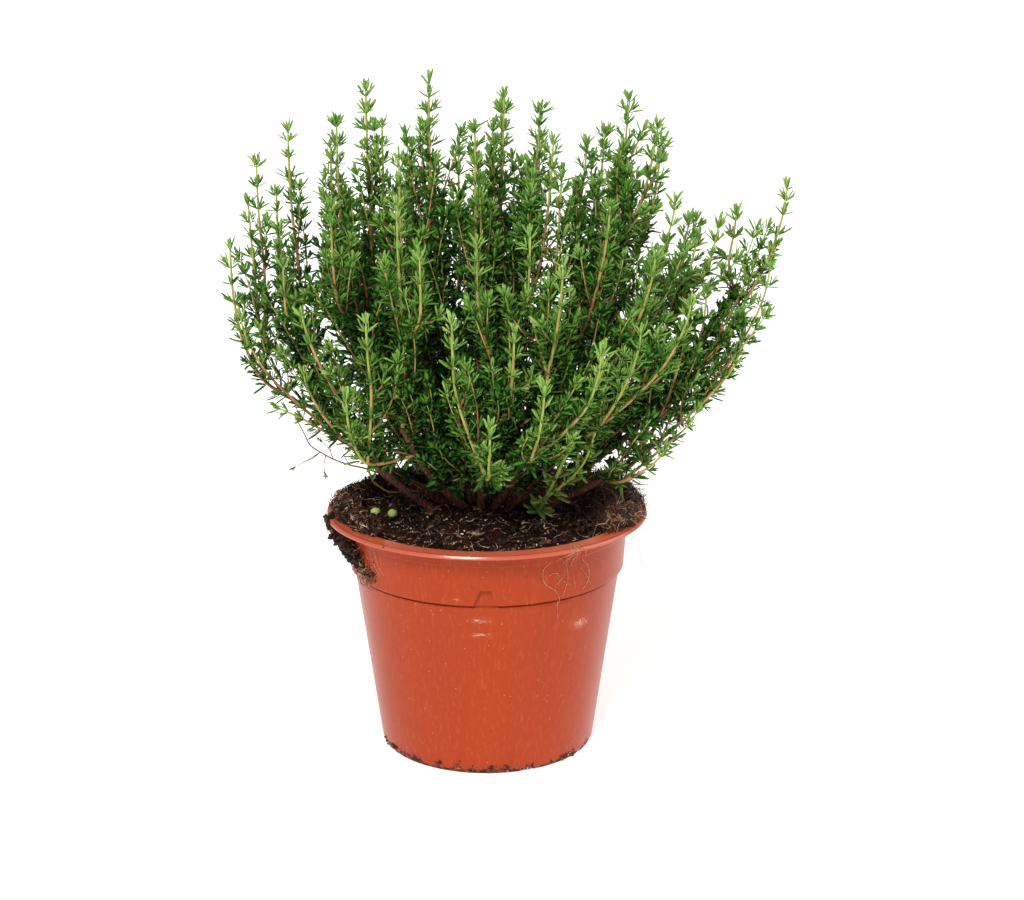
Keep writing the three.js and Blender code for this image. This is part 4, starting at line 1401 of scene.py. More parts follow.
@dataclass
class RootTangle:
    """Loose curls of root that stand up from the mat at the right, and darker strands that hang from it."""

    soil: RootBall
    # The mat's middle as (turn in degrees from +X, distance from the axis, height of the tangle's top).
    ridge: Rows = (
        (-34, 54, 101.5), (-22, 55, 104.5), (-8, 54.5, 107), (6, 53.5, 108.5), (18, 53, 107.5),
        (32, 54, 105), (46, 55, 101.5))
    middle: float = 54.0
    curl_count: int = 260
    strand_count: int = 90

    def on_ridge(self, share: Array) -> Array:
        """Returns rows of turn in radians, distance and top along the mat, at shares of its length."""
        turn, away, top = followed(share, np.linspace(0, 1, len(self.ridge)), np.array(self.ridge)).T
        return np.stack((np.radians(turn), away, top))

    def build(self) -> None:
        """Builds the curls and the strands."""
        piece = Piece("root_tangle", "fine_roots", [FIBRE])
        scatter = Scatter(61, piece)
        random = scatter.random
        count = self.curl_count
        turn, away, top = self.on_ridge(random.uniform(0, 1, count))
        away = away + random.normal(0, 3.2, count)
        rise = random.uniform(0, 1, count) ** 1.3 * np.exp(-np.abs(away - self.middle) / 9.0)
        starts = round_axis(away, turn, mix(99.5, top, rise))
        ways = unit(random.normal(size=starts.shape) * (1.0, 1.0, 0.55))
        lengths = random.uniform(7.0, 19.0, count)
        tones = scatter.skewed(count, 0.34, 0.52, 1.2)
        scatter.threads(starts, ways, lengths, random.uniform(0.07, 0.2, count), tones, self.settle, 2.4, 12)

        count = self.strand_count
        turn, away, top = self.on_ridge(random.uniform(0.12, 0.62, count))
        away = away - random.uniform(0.5, 5.0, count)
        starts = round_axis(away, turn, top - random.uniform(1.0, 4.0, count))
        ways = unit(random.normal(0, 0.28, size=starts.shape) + (-0.45, -0.9, -0.42))
        lengths = random.uniform(10.0, 21.0, count)
        tones = scatter.skewed(count, 0.05, 0.5, 1.6)
        scatter.threads(starts, ways, lengths, random.uniform(0.09, 0.26, count), tones, self.settle, 0.7, 9)
        piece.build()

    def settle(self, path: Array, share: Array) -> Array:
        """Keeps threads inside the flange's edge and above the peat and the rim.

        Args:
            path: the points of each thread.
            share: the share of the thread that each point stands for, which makes no difference here.

        Returns:
            The points, moved in and up.
        """
        away = np.linalg.norm(path[..., :2], axis=-1)
        flat = path[..., :2] * np.minimum(1.0, (self.soil.pot.flange_radius + 1.2) / away)[..., None]
        peat = self.soil.height(flat[..., 0], flat[..., 1]) + 0.4
        ground = np.where(away > self.soil.inside(self.soil.top) - 0.6, self.soil.pot.height + 0.2, peat)
        return np.concatenate((flat, np.maximum(path[..., 2], ground)[..., None]), axis=-1)


@dataclass
class FootDirt:
    """Dried peat that sticks to the lower edge of the pot."""

    pot: NurseryPot
    # Where it sticks, as (first turn and last turn in degrees from +X, number of crumbs).
    arcs: tuple[tuple[float, float, int], ...] = (
        (-118.0, -62.0, 150), (-162.0, -146.0, 44), (-46.0, -36.0, 24), (40.0, 80.0, 40), (130.0, 160.0, 26))

    def build(self) -> None:
        """Builds the crumbs that stick to the foot."""
        piece = Piece("foot_dirt", "peat", [FIBRE])
        scatter = Scatter(71, piece)
        for start, end, count in self.arcs:
            turn = np.radians(scatter.random.uniform(start, end, count))
            height = scatter.skewed(count, 0.35, 3.2, 2.2)
            away = self.pot.wall_radius(height) + 0.05 - 0.9 * (height < 1.2)
            sizes = scatter.skewed(count, 0.22, 0.75, 2)
            places = round_axis(away, turn, np.maximum(height, sizes * 1.45))
            scatter.crumbs(places, sizes, scatter.skewed(count, 0.16, 0.62, 1.2), lowest=0.02)
        piece.build()


# ---- plant


@dataclass(frozen=True)
class Habit:
    """How a shoot grows. Ages run from 0 for new growth to 1 for old.

    Attributes:
        spacing: the distance between pairs of leaves.
        leaf: the length of a leaf.
        slim: the width of a leaf as a share of its length.
        oldest: the age of the leaves at its foot.
        newest: the age of the leaves at its tip.
        tuft: the length of the leaves in a tuft.
        pairs: the number of pairs of leaves in a tuft.
        wood: the age of the stem at its foot.
        detail: how finely its leaves are shown, from 0 inside the plant to 2 on the outside.
    """

    spacing: float
    leaf: float
    slim: float
    oldest: float
    newest: float
    tuft: float
    pairs: int
    wood: float
    detail: int


class Vigour(Enum):
    """The kinds of shoot on the plant."""

    MATURE = Habit(7.2, 6.9, 0.215, 0.84, 0.24, 5.6, 4, 0.80, 2)
    FRONT = Habit(7.0, 6.9, 0.205, 0.76, 0.14, 5.2, 3, 0.52, 2)
    SPARSE = Habit(8.2, 6.7, 0.215, 0.82, 0.22, 5.0, 3, 0.86, 2)
    # Young shoots get young ages all along, so a light green: partly their real youth, partly painted light
    # against the plant's shade on them.
    YOUNG = Habit(8.0, 7.6, 0.25, 0.16, 0.0, 4.0, 2, 0.10, 2)
    LATERAL = Habit(6.2, 6.3, 0.24, 0.88, 0.28, 5.0, 3, 0.74, 1)
    # Shaded shoots inside the plant get old, dark leaves: partly the real age of inner leaves, partly painted
    # shade.
    SHADED = Habit(5.8, 7.0, 0.33, 0.96, 0.68, 5.2, 2, 0.90, 0)
    SPENT = Habit(5.0, 3.6, 0.24, 1.3, 1.1, 2.0, 1, 0.70, 1)


@dataclass(frozen=True)
class LeafForm:
    """The shape of a leaf: how wide it is along its length, and its section.

    Attributes:
        stations: (share of the length, share of the half width) between root and tip.
        folded: whether the upper side is folded along the middle vein, and not flat.
        fold: how far the margins rise, as a share of the half width.
        keel: how far the underside bulges, as a share of the half width.
    """

    stations: Rows
    folded: bool
    fold: float = 0.5
    keel: float = 0.3

    def blades(self, leaves: Array) -> tuple[Array, Faces, Array]:
        """Makes a closed blade for each leaf.

        Args:
            leaves: rows of root (3), heading (3), facing (3), length, width, curl, age and own number.

        Returns:
            Vertices, faces and growth numbers.
        """
        rows = [(0.0, 0.0, 0.0, 0.5)]
        for place, wide in self.stations:
            margins = [(place, -wide, self.fold * wide, 0.6), (place, wide, self.fold * wide, 0.6)]
            vein = [(place, 0.0, 0.1 * wide, 1.0)] if self.folded else []
            rows += [margins[0], *vein, margins[1], (place, 0.0, -self.keel * wide, 0.0)]
        rows.append((1.0, 0.0, 0.2, 0.6))
        along, across, lift, side = np.array(rows).T
        sides = 4 if self.folded else 3
        root, heading, facing = leaves[:, None, 0:3], leaves[:, None, 3:6], leaves[:, None, 6:9]
        length, width, curl = (leaves[:, i][:, None] for i in (9, 10, 11))
        bend = curl * along
        forward = length * along * np.sinc(bend / np.pi)
        rise = length * along * np.sinc(bend / (2 * np.pi)) * np.sin(bend / 2)
        vertices = (root + heading * forward[:, :, None] + facing * (rise + lift * width / 2)[:, :, None]
                    + np.cross(heading, facing) * (across * width / 2)[:, :, None])
        ring = np.arange(sides)
        nxt = (ring + 1) % sides
        last = sides * len(self.stations) + 1
        skin = [np.stack((first + ring, first + nxt, first + sides + nxt, first + sides + ring), axis=-1)
                for first in range(1, last - sides, sides)]
        ends = [np.stack((np.zeros(sides, int), 1 + nxt, 1 + ring), axis=-1),
                np.stack((np.full(sides, last), last - sides + ring, last - sides + nxt), axis=-1)]
        shift = (last + 1) * np.arange(len(leaves))[:, None, None]
        growth = np.empty((len(leaves), last + 1, 4))
        growth[:, :, 0], growth[:, :, 1] = along, side
        growth[:, :, 2:] = leaves[:, None, 12:14]
        faces = [(part[None] + shift).reshape(-1, part.shape[1]) for part in (*skin, *ends)]
        return vertices.reshape(-1, 3), faces, growth.reshape(-1, 4)


LARGE_LEAF = LeafForm(((0.15, 0.50), (0.50, 1.0), (0.88, 0.70)), folded=True)
TUFT_LEAF = LeafForm(((0.28, 0.88), (0.80, 0.86)), folded=True)
SLIM_LEAF = LeafForm(((0.28, 0.88), (0.80, 0.86)), folded=False)
SMALL_LEAF = LeafForm(((0.58, 1.0),), folded=False)


@dataclass
class Shoot:
    """A stem with its leaves: pairs in turn at right angles, with a tuft in each leaf's corner.

    Attributes:
        line: the middle line over t from 0 to 1.
        radii: radius at the foot and at the tip.
        vigour: how it grows.
        seed: picks its random numbers.
        bare: the share of its length without leaves.
        sides: the number of sides of the stem.
        lowest: the height under which it is bare. It rises towards the front of the plant.
        leaves: the leaves grown so far.
    """

    line: Line
    radii: tuple[float, float]
    vigour: Vigour
    seed: int
    bare: float = 0.04
    sides: int = 8
    lowest: float = 107.0
    leaves: list[Array] = field(default_factory=list)

    def __post_init__(self) -> None:
        """Measures the stem, lays points along it at even distances and grows its leaves."""
        self.random = np.random.default_rng(self.seed)
        fine = self.line(np.linspace(0.0, 1.0, 160))
        run = np.concatenate(([0.0], np.cumsum(np.linalg.norm(np.diff(fine, axis=0), axis=1))))
        self.length = float(run[-1])
        self.at = np.linspace(0, self.length, max(5, int(self.length / (2.4 if self.sides > 4 else 3.6))))
        self.points = followed(self.at, run, fine)
        self.dress()

    def place(self, distance: float) -> tuple[Array, Array]:
        """Returns the place and the heading of the stem at a distance from its foot."""
        near = followed((distance - 0.8, distance, distance + 0.8), self.at, self.points)
        return near[1], unit(near[2] - near[0])

    def leaf(self, root: Array, stem: Array, out: Array, opening: float, length: float,
             age: float, slim: float | None = None) -> None:
        """Adds one leaf.

        Args:
            root: where it grows.
            stem: the heading of what it grows on.
            out: the way out of the stem, square to it.
            opening: the angle between leaf and stem, in degrees.
            length: its length.
            age: its age.
            slim: its width as a share of its length, or None for that of the shoot's habit.
        """
        draw = self.random.normal(size=4)
        angle = math.radians(opening + 8 * draw[0])
        sway = np.cross(stem, out) * (0.2 * draw[1])
        heading = unit(stem * math.cos(angle) + (out + sway) * math.sin(angle))
        facing = unit(stem - heading * float(stem @ heading) + 1e-6)
        size = length * (1 + 0.1 * np.clip(draw[2], -2, 2))
        width = size * (slim or self.vigour.value.slim) * self.random.uniform(0.85, 1.15)
        self.leaves.append(np.array((*root, *heading, *facing, size, width, 0.12 + 0.34 * draw[3], age,
                                     self.random.uniform())))

    def tuft(self, root: Array, stem: Array, out: Array, size: float, age: float,
             pairs: int) -> None:
        """Adds a tuft of small leaves in the corner of a leaf.

        Args:
            root: where it grows.
            stem: the heading of the stem.
            out: the way out of the stem.
            size: the length of its largest leaves.
            age: their age.
            pairs: the number of pairs.
        """
        lean = math.radians(self.random.uniform(20, 40))
        heading = unit(stem * math.cos(lean) + out * math.sin(lean))
        way = turned(unit(np.cross(heading, stem) + 1e-6), heading, self.random.uniform(-0.5, 0.5))
        for pair in range(pairs):
            at = root + heading * (0.3 + 1.1 * pair)
            opening, length = mix(58, 16, (pair + 0.5) / pairs), size * (1 - 0.12 * pair)
            for sign in (1.0, -1.0):
                self.leaf(at, heading, way * sign, opening, length, age)
            way = turned(way, heading, math.pi / 2)

    def dress(self) -> None:
        """Puts leaves and tufts on the stem, closer together and younger towards its tip."""
        habit = self.vigour.value
        crowding = self.random.uniform(0.5, 0.95)
        distance = self.bare * self.length + self.random.uniform(0, 2.0)
        turn = self.random.uniform(0, math.pi)
        while distance < self.length - 2.0:
            to_tip = self.length - distance
            point, stem = self.place(distance)
            if point[2] + 0.15 * min(point[1], 0.0) < self.lowest:
                distance += habit.spacing
                continue

            out = turned(square_to(stem), stem, turn)
            share = distance / self.length
            fresh = float(eased(1 - to_tip / 26.0))
            age = mix(habit.oldest, habit.newest, max(share ** 1.6, fresh ** 2)) + self.random.normal(0, 0.07)
            length = habit.leaf * mix(1.0, 0.86, fresh)
            for sign in (1.0, -1.0):
                way = out * sign
                root = point + way * mix(*self.radii, share) * 0.7
                spent = self.random.uniform() < 0.035
                self.leaf(root, stem, way, mix(66, 42, fresh), length, 1.4 if spent else age)
                fewer = to_tip < 8 or self.random.uniform() < 0.3
                self.tuft(root, stem, way, habit.tuft * self.random.uniform(0.75, 1.1), age * 0.9,
                          max(1, habit.pairs - int(fewer)))
            turn += math.pi / 2 + self.random.normal(0, 0.12)
            distance += habit.spacing * mix(1.0, crowding, fresh) * self.random.uniform(0.84, 1.16)
        self.crest(habit)

    def crest(self, habit: Habit) -> None:
        """Closes the stem with a tight tuft of its youngest leaves.

        Args:
            habit: how the shoot grows.
        """
        point, stem = self.place(self.length)
        for pair, (opening, size) in enumerate(((46, 0.92), (34, 0.86), (22, 0.74), (10, 0.5))):
            way = turned(square_to(stem), stem, pair * math.pi / 2)
            for sign in (1.0, -1.0):
                self.leaf(point + stem * (0.5 * pair - 1.8), stem, way * sign, opening, habit.leaf * size,
                          habit.newest)

    def rosette(self, distance: float, count: int, length: float) -> None:
        """Adds a ring of broad leaves round the stem.

        Args:
            distance: how far up the stem it is.
            count: the number of leaves.
            length: their length.
        """
        point, stem = self.place(distance)
        for i in range(count):
            way = turned(square_to(stem), stem, SPIRAL * i)
            # The rosette's age of 0.14 gives a light green: partly real youth, partly painted light against
            # the plant's shade.
            self.leaf(point + stem * 0.35 * i, stem, way, mix(82, 52, i / count), length, 0.14, 0.34)

    @staticmethod
    def has_room(tip: Array, out: Array) -> bool:
        """Tells whether a side shoot can grow out at a place.

        Args:
            tip: where its tip would be.
            out: the way that it leaves the stem.

        Returns:
            Whether its tip lies well inside the plant, or at least doesn't lead out of it.
        """
        reach = (tip - MIDDLE) / HALF_SPREAD
        outward = float(out @ unit(reach / HALF_SPREAD))
        return out[2] > -0.2 and (np.linalg.norm(reach) < 0.8 or outward < 0.25)

    def lateral(self, start: float, end: float, turn: float, aside: float, vigour: Vigour) -> "Shoot":
        """Grows a side shoot that leaves this stem and rises beside it.

        Args:
            start: the share of this stem where it leaves.
            end: the share of this stem that its tip is level with.
            turn: the way that it leaves, in radians round the stem.
            aside: how far from this stem its tip is.
            vigour: how it grows.

        Returns:
            The side shoot.
        """
        _, stem = self.place(start * self.length)
        tip, _ = self.place(end * self.length)
        for step in range(6):
            out = turned(square_to(stem), stem, turn + 1.9 * step)
            if self.has_room(tip + out * aside, out):
                break

        sway = self.random.normal(0, 0.10, 3) * (end - start) * self.length

        def line(t: Array) -> Array:
            """Returns places along the side shoot."""
            beside = followed(mix(start, end, t) * self.length, self.at, self.points)
            return beside + out * (aside * (1 - (1 - t) ** 2.2))[:, None] + sway * (t ** 2)[:, None]

        return Shoot(line, (0.45, 0.28), vigour, int(self.random.integers(1 << 30)), bare=0.08, sides=4)

    def add_to(self, piece: Piece) -> None:
        """Adds the stem and its leaves to a piece.

        Args:
            piece: the piece, whose finishes are those of the stem and of the leaves.
        """
        habit = self.vigour.value
        share = self.at / self.length
        radii = mix(*self.radii, share) * (1 + 0.05 * np.sin(self.at * 1.7))
        radii[-1] *= 0.5
        vertices, faces = tubes(self.points[None], radii[None], self.sides)
        share = np.repeat(share, self.sides)
        piece.add(vertices, faces, 0, growth_of(mix(habit.wood, 0.1, share ** 2.4), len(vertices), share))
        leaves = np.array(self.leaves)
        large = leaves[:, 9] > (9.0, 4.6, 5.4)[habit.detail]
        forms = ((SMALL_LEAF, SMALL_LEAF), (SLIM_LEAF, SMALL_LEAF), (LARGE_LEAF, TUFT_LEAF))[habit.detail]
        for form, chosen in zip(forms, (leaves[large], leaves[~large])):
            if len(chosen):
                blades, rows, numbers = form.blades(chosen)
                piece.add(blades, rows, 1, numbers)


MIDDLE = np.array((5.0, 5.0, 180.0))
HALF_SPREAD = np.array((106.0, 76.0, 96.0))


@dataclass(frozen=True)
class Branch:
    """A woody stem and the tips of the leafy sprays that it carries, as the solids have them.

    Attributes:
        name: the branch's name.
        sprays: the tips of each spray: its stem and, for most, its fork.
        to: the share of the way to the tips that is wood.
        spread: how far the foot stands from the crown, as a share of the way to the tips.
        rise: how soon the branch turns up.
        shaded: how many shaded shoots rise from the wood under each spray.
        leafy: how densely side shoots stand on it, where 1 is the plant's mean.
        vigour: how its sprays grow.
        beside: points of further shoots, from where they leave the wood to their tips.
    """

    name: str
    sprays: tuple[Rows, ...]
    to: float = 0.44
    spread: float = 0.16
    rise: float = 2.2
    shaded: int = 8
    leafy: float = 1.0
    vigour: Vigour = Vigour.MATURE
    beside: tuple[Rows, ...] = ()


BRANCHES = (
    Branch("far_left", (((-99, -10, 207), (-89, 0, 239)), ((-78, 15, 250), (-77, -25, 203))), shaded=5,
           leafy=0.6, vigour=Vigour.SPARSE,
           beside=(((-62, -2, 146), (-80, -1, 160), (-89, 0, 172), (-90.7, 0, 188.5), (-92.3, 3, 206.4),
                    (-93.4, 5, 221)),)),
    Branch("left", (((-58, 5, 254), (-58, -30, 227)), ((-46, 0, 268),)), shaded=10),
    Branch("left_back", (((-86, 38, 222), (-64, 44, 240)), ((-42, 32, 250),)), leafy=0.8,
           vigour=Vigour.SPARSE),
    Branch("low_left", (((-71, -19, 159), (-95, -17, 181)), ((-68, -48, 188),)), spread=0.26, rise=0.9,
           shaded=2, leafy=0.5, vigour=Vigour.SPARSE,
           beside=(((-50, -10, 124), (-62, -13, 132), (-73, -15, 139), (-82, -16, 143.5)),)),
    Branch("front_left", (((-52, -50, 157), (-44, -50, 186)), ((-33, -32, 227), (-24, -46, 210))), shaded=9,
           vigour=Vigour.FRONT),
    Branch("centre_left", (((-33, -13, 243), (-22, 5, 270)), ((-11, 17, 241),)), shaded=13),
    Branch("centre", (((-4, -10, 254), (7, 10, 264)), ((26, -8, 248), (21, 15, 258))), shaded=13,
           beside=(((19.6, -10, 165.3), (24.6, -9, 185.1), (27.7, -8, 204.6), (28.7, -8, 222.2),
                    (29.4, -8, 234.9)),)),
    Branch("front", (((2, -62, 148), (-12, -56, 187)), ((11, -52, 183), (-3, -38, 214))), shaded=9,
           vigour=Vigour.FRONT),
    Branch("front_right", (((22, -66, 164), (43, -60, 176)), ((29, -48, 207), (17, -35, 216))), shaded=8,
           vigour=Vigour.FRONT),
    Branch("right", (((47, -30, 226), (40, 22, 244)), ((66, -6, 254), (56, 8, 263))), to=0.6, shaded=12,
           beside=(((44, 0, 196), (54, -2, 211), (61, -4, 224), (66, -5, 236), (68, -6, 246)),
                   ((42, 2, 190), (48, 4, 212), (54, 6, 232), (61, 2, 250)),
                   ((55.7, -2, 195.7), (62.4, -3, 211.7), (65.6, -4, 225.5), (67.3, -4, 239.8)))),
    Branch("right_front", (((58, -52, 182), (77, -45, 192)), ((64, -36, 208), (73, -14, 226))),
           vigour=Vigour.FRONT, shaded=12,
           beside=(((48, -24, 150), (57, -15, 158), (64.1, -8, 164.9), (73.4, -6, 176.9), (79.2, -4, 188.1),
                    (86, -2, 194.5), (89, 0, 203.3), (91.5, 2, 213.6)),
                   ((73.4, -6, 176.9), (78.1, -4, 186.9), (80.7, -2, 198.9), (83.2, 0, 209.2)),
                   ((73.4, -6, 176.9), (84, -5, 187), (93, -3, 193), (99, -2, 201)))),
    Branch("far_right", (((101, -16, 178), (109, -21, 202)), ((117, -2, 230), (98, 2, 219))), to=0.5,
           rise=2.6, shaded=11, leafy=0.9, vigour=Vigour.SPARSE,
           beside=(((62, -8, 132), (76.7, -8, 144.6), (81.8, -9, 161.1), (85, -9, 175.1), (86.3, -8, 188.9)),
                   ((56, -8, 122), (64.8, -12, 130.9), (72.1, -16, 149.8), (77.1, -16, 168.7),
                    (79.1, -16, 184.5)))),
    Branch("low_right", (((69, -34, 132), (82, -25, 145)), ((98, -24, 168),)), spread=0.26, shaded=3,
           leafy=0.7, vigour=Vigour.SPARSE),
    Branch("back_left", (((-60, 68, 216), (-32, 66, 238)), ((-24, 42, 254),)), shaded=11),
    Branch("back", (((-4, 76, 230), (22, 74, 240)), ((6, 46, 256),)), shaded=12),
    Branch("back_right", (((84, 52, 208), (56, 62, 230)), ((84, 18, 214), (48, 42, 246))), shaded=9),
)


@dataclass
class ThymePlant:
    """The plant: woody stems out of one crown, leafy sprays on them, and young shoots from the soil.

    Attributes:
        soil: the peat that it stands in.
        rise_swing: how much sooner the branches on the left turn up.
        low_start: where a lower spray leaves the wood, as a share of where the last one does.
        fork_start: the share of a spray's stem where its fork leaves.
        bend: how quickly a stem leaves the one that carries it.
        side_density: the number of side shoots for each millimetre of stem.
        young: young shoots from the soil as (radius, leaves in the rosette at the foot, points).
        twigs: thin stems low on the left as (radius, tone, whether a small tuft ends it, points).
    """

    soil: RootBall
    rise_swing: float = 0.75
    wood_radii: tuple[float, float] = (1.7, 1.1)
    wood_depth: float = 17.0
    shoot_radii: tuple[float, float] = (0.80, 0.40)
    fork_radii: tuple[float, float] = (0.68, 0.37)
    low_start: float = 0.7
    fork_start: float = 0.28
    bend: float = 0.24
    tip_share: float = 0.99
    side_density: float = 0.055
    young: tuple[tuple[float, int, Rows], ...] = (
        (0.53, 0, ((-15, 10, 98), (-8.4, 0, 110.1), (-4.6, -8, 119.1), (-1.3, -14, 129.8), (1, -19, 140))),
        (0.85, 10, ((19.7, -2.1, 95), (24.1, -12, 106.1), (31, -26, 126.1), (37.1, -34, 141.6),
                    (43.4, -42, 161.7), (44.3, -45, 172))),
        (0.6, 0, ((24.5, -13, 106), (36.8, -24, 121), (42.1, -34, 138), (45.1, -41, 156))))
    twigs: tuple[tuple[float, float, bool, Rows], ...] = (
        (0.44, 0.94, False, ((-18, 5, 99), (-26, 4, 106), (-36, 1, 110), (-42.5, -1, 112.3),
                             (-49.6, -4, 115.5), (-54.9, -4, 116.7), (-61.6, -4, 119.2), (-66.8, -4, 122.2),
                             (-70.7, -4, 125.1), (-73, -4, 130), (-75.3, -4, 134.6))),
        (0.22, 0.9, True, ((-64.5, -4.4, 120.6), (-65.2, -5, 117), (-64.9, -5, 112.8))),
        (0.22, 0.9, False, ((-66.8, -4, 122), (-70, -5, 119.6), (-73.6, -5, 118.3))),
        (0.22, 0.9, True, ((-66.8, -4, 122), (-72, -5, 118.9), (-77.7, -5, 115.8))),
        (0.22, 0.9, False, ((-61.6, -4, 119.2), (-62.3, -5, 122), (-62.6, -5, 124.5))),
        (0.22, 0.9, True, ((-62.4, -5, 122.8), (-64.6, -5, 125.6), (-66.6, -5, 127.4))),
        (0.22, 0.9, False, ((-54.9, -4, 116.7), (-57, -5, 120.6), (-58.3, -5, 123.7))),
        (0.5, 0.3, False, ((-47, 10, 118), (-48.8, 12, 111), (-47.3, 12, 106.7), (-46.2, 12, 104.5),
                           (-40.9, 12, 100.9), (-35.9, 12, 100.7), (-31, 12, 101.3), (-20, 10, 99))))

    def rising(self, foot: Array, tip: Array, rise: float) -> Line:
        """Draws the line from a foot to a tip that leaves low and turns up.

        Args:
            foot: where it starts.
            tip: where it ends.
            rise: how soon it turns up.

        Returns:
            The line, with t from 0 to 1.
        """
        x, y = tip[0] - foot[0], tip[1] - foot[1]
        power = rise - self.rise_swing * x / math.hypot(x, y)

        def line(t: Array) -> Array:
            """Returns places along the line."""
            t = np.clip(t, 0.0, 1.0)
            reach = 1 - (1 - t) ** power
            return np.stack((foot[0] + x * reach, foot[1] + y * reach, mix(foot[2], tip[2], t)), axis=-1)

        return line

    def leaving(self, parent: Line, foot: Array, tip: Array, start: float, rise: float) -> Line:
        """Draws the line that leaves a parent and bends over to a tip of its own.

        Args:
            parent: the line that it leaves.
            foot: the foot of the branch.
            tip: where it ends.
            start: the t on the parent where it leaves.
            rise: how soon the branch turns up.

        Returns:
            The line, with t from 0 to 1.
        """
        own = self.rising(foot, tip, rise)

        def line(t: Array) -> Array:
            """Returns places along the line."""
            share = 1 - (1 - np.clip((t - start) / self.bend, 0, 1)) ** 2
            return mix(parent(t), own(t), share[:, None])

        return line

    @staticmethod
    def part(line: Line, begin: float, end: float) -> Line:
        """Returns the part of a line from t = begin to t = end, with t from 0 to 1."""
        return lambda t: line(mix(begin, end, t))

    @staticmethod
    def traced(points: Rows) -> Line:
        """Returns the smooth line through points, with t from 0 to 1."""
        path = smooth_path(np.array(points, dtype=float), 60)
        return partial(followed, stations=np.linspace(0, 1, len(path)), points=path)

    def woody_line(self, branch: Branch) -> tuple[Array, Line]:
        """Draws a branch's woody stem.

        Args:
            branch: the branch.

        Returns:
            Its foot and its line.
        """
        aim = np.mean([tip for spray in branch.sprays for tip in spray], axis=0)
        foot = mix(np.array((*self.soil.crown, 0.0)), aim, branch.spread)
        foot[2] = self.soil.top + self.soil.mound_height * 0.6
        return foot, self.rising(foot, aim, branch.rise)

    def woody_stem(self, branch: Branch, number: int) -> None:
        """Builds the woody stem of a branch, with knots and grooves along it.

        Args:
            branch: the branch.
            number: its place in the list of branches.
        """
        foot, line = self.woody_line(branch)
        points = line(np.linspace(0, branch.to, 44))
        points = np.concatenate((foot[None] - (0, 0, self.wood_depth), foot[None] - (0, 0, 3), points))
        share = np.concatenate(([0.0, 0.0], np.linspace(0, 1, 44)))
        sides = 14
        vertices, faces = tubes(points[None], mix(*self.wood_radii, share)[None], sides)
        middle = np.repeat(points, sides, axis=0)
        grooves = (0.16 * value_noise(vertices * (1.0, 1.0, 0.3), 0.9, number)
                   + 0.2 * value_noise(vertices, 5.0, number + 40))
        piece = Piece(f"bark_stem_{branch.name}", "bark", [BARK], [f"woody_stem_{branch.name}"])
        piece.add(middle + (vertices - middle) * (1.0 + grooves)[:, None], faces)
        piece.build()

    def spray(self, branch: Branch, number: int, tips: Rows, order: int) -> None:
        """Builds one leafy spray of a branch, with its side shoots and those on the wood beneath it.

        Args:
            branch: the branch.
            number: its place in the list of branches.
            tips: the tips of the spray's stem and of its fork.
            order: the spray's place on the branch.
        """
        foot, parent = self.woody_line(branch)
        last = order == len(branch.sprays) - 1
        start = branch.to * (1.0 if last else self.low_start)
        node = f"leafy_spray_{branch.name}_{order + 1}"
        piece = Piece(f"thyme_spray_{branch.name}_{order + 1}", "leafy_shoot", [STEM, LEAF], [node])
        stems = []
        for i, tip in enumerate(tips):
            begin = mix(start, 1.0, self.fork_start) if i else start
            parent = self.leaving(parent, foot, np.array(tip, dtype=float), begin, branch.rise)
            radii = self.fork_radii if i else self.shoot_radii
            key = 1000 + 40 * number + 10 * order + i
            stems.append((self.part(parent, begin, self.tip_share), radii, key))
        for i, points in enumerate(branch.beside if last else ()):
            stems.append((self.traced(points), self.fork_radii, 3000 + 40 * number + i))
        for line, radii, seed in stems:
            stem = Shoot(line, radii, branch.vigour, seed)
            stem.add_to(piece)
            self.side_shoots(stem, piece, branch.leafy)
        self.wood_shoots(branch, 5000 + 10 * number + order, piece)
        piece.build()

    def side_shoots(self, stem: Shoot, piece: Piece, leafy: float) -> None:
        """Adds side shoots along a stem, turned on from each other, the higher ones shorter.

        Args:
            stem: the stem.
            piece: the piece to add them to.
            leafy: how densely they stand, where 1 is the plant's mean.
        """
        count = round(stem.length * self.side_density * leafy)
        turn = stem.random.uniform(0, 2 * math.pi)
        for i in range(count):
            start = mix(0.02, 0.62, (i + stem.random.uniform(0, 0.8)) / count)
            end = min(1 - 22.0 / stem.length, start + stem.random.uniform(28, 55) / stem.length)
            aside = stem.random.uniform(5.5, 11.5) * mix(1.0, 0.6, start)
            stem.lateral(start, end, turn, aside, Vigour.LATERAL).add_to(piece)
            turn += SPIRAL

    def wood_shoots(self, branch: Branch, seed: int, piece: Piece) -> None:
        """Adds shaded shoots that rise from the wood beneath a spray.

        Args:
            branch: the branch.
            seed: picks the random numbers.
            piece: the piece to add them to.
        """
        _, wood = self.woody_line(branch)
        carrier = Shoot(self.part(wood, 0.0, 0.9), (1.0, 0.5), Vigour.SHADED, seed)
        turn = carrier.random.uniform(0, 2 * math.pi)
        for i in range(branch.shaded):
            start = mix(0.05, 0.60, (i + carrier.random.uniform(0, 0.9)) / branch.shaded)
            end = min(0.84, start + carrier.random.uniform(0.25, 0.48))
            aside = carrier.random.uniform(7.0, 17.0)
            carrier.lateral(start, end, turn, aside, Vigour.SHADED).add_to(piece)
            turn += SPIRAL

    def young_shoots(self) -> None:
        """Builds the bright young shoots that come out of the soil."""
        for i, (radius, rosette, points) in enumerate(self.young):
            shoot = Shoot(self.traced(points), (radius, 0.6 * radius), Vigour.YOUNG, 700 + i, lowest=0.0)
            if rosette:
                shoot.rosette(2.0, rosette, 6.6)
            piece = Piece(f"young_shoot_{i + 1}", "leafy_shoot", [STEM, LEAF])
            shoot.add_to(piece)
            piece.build()

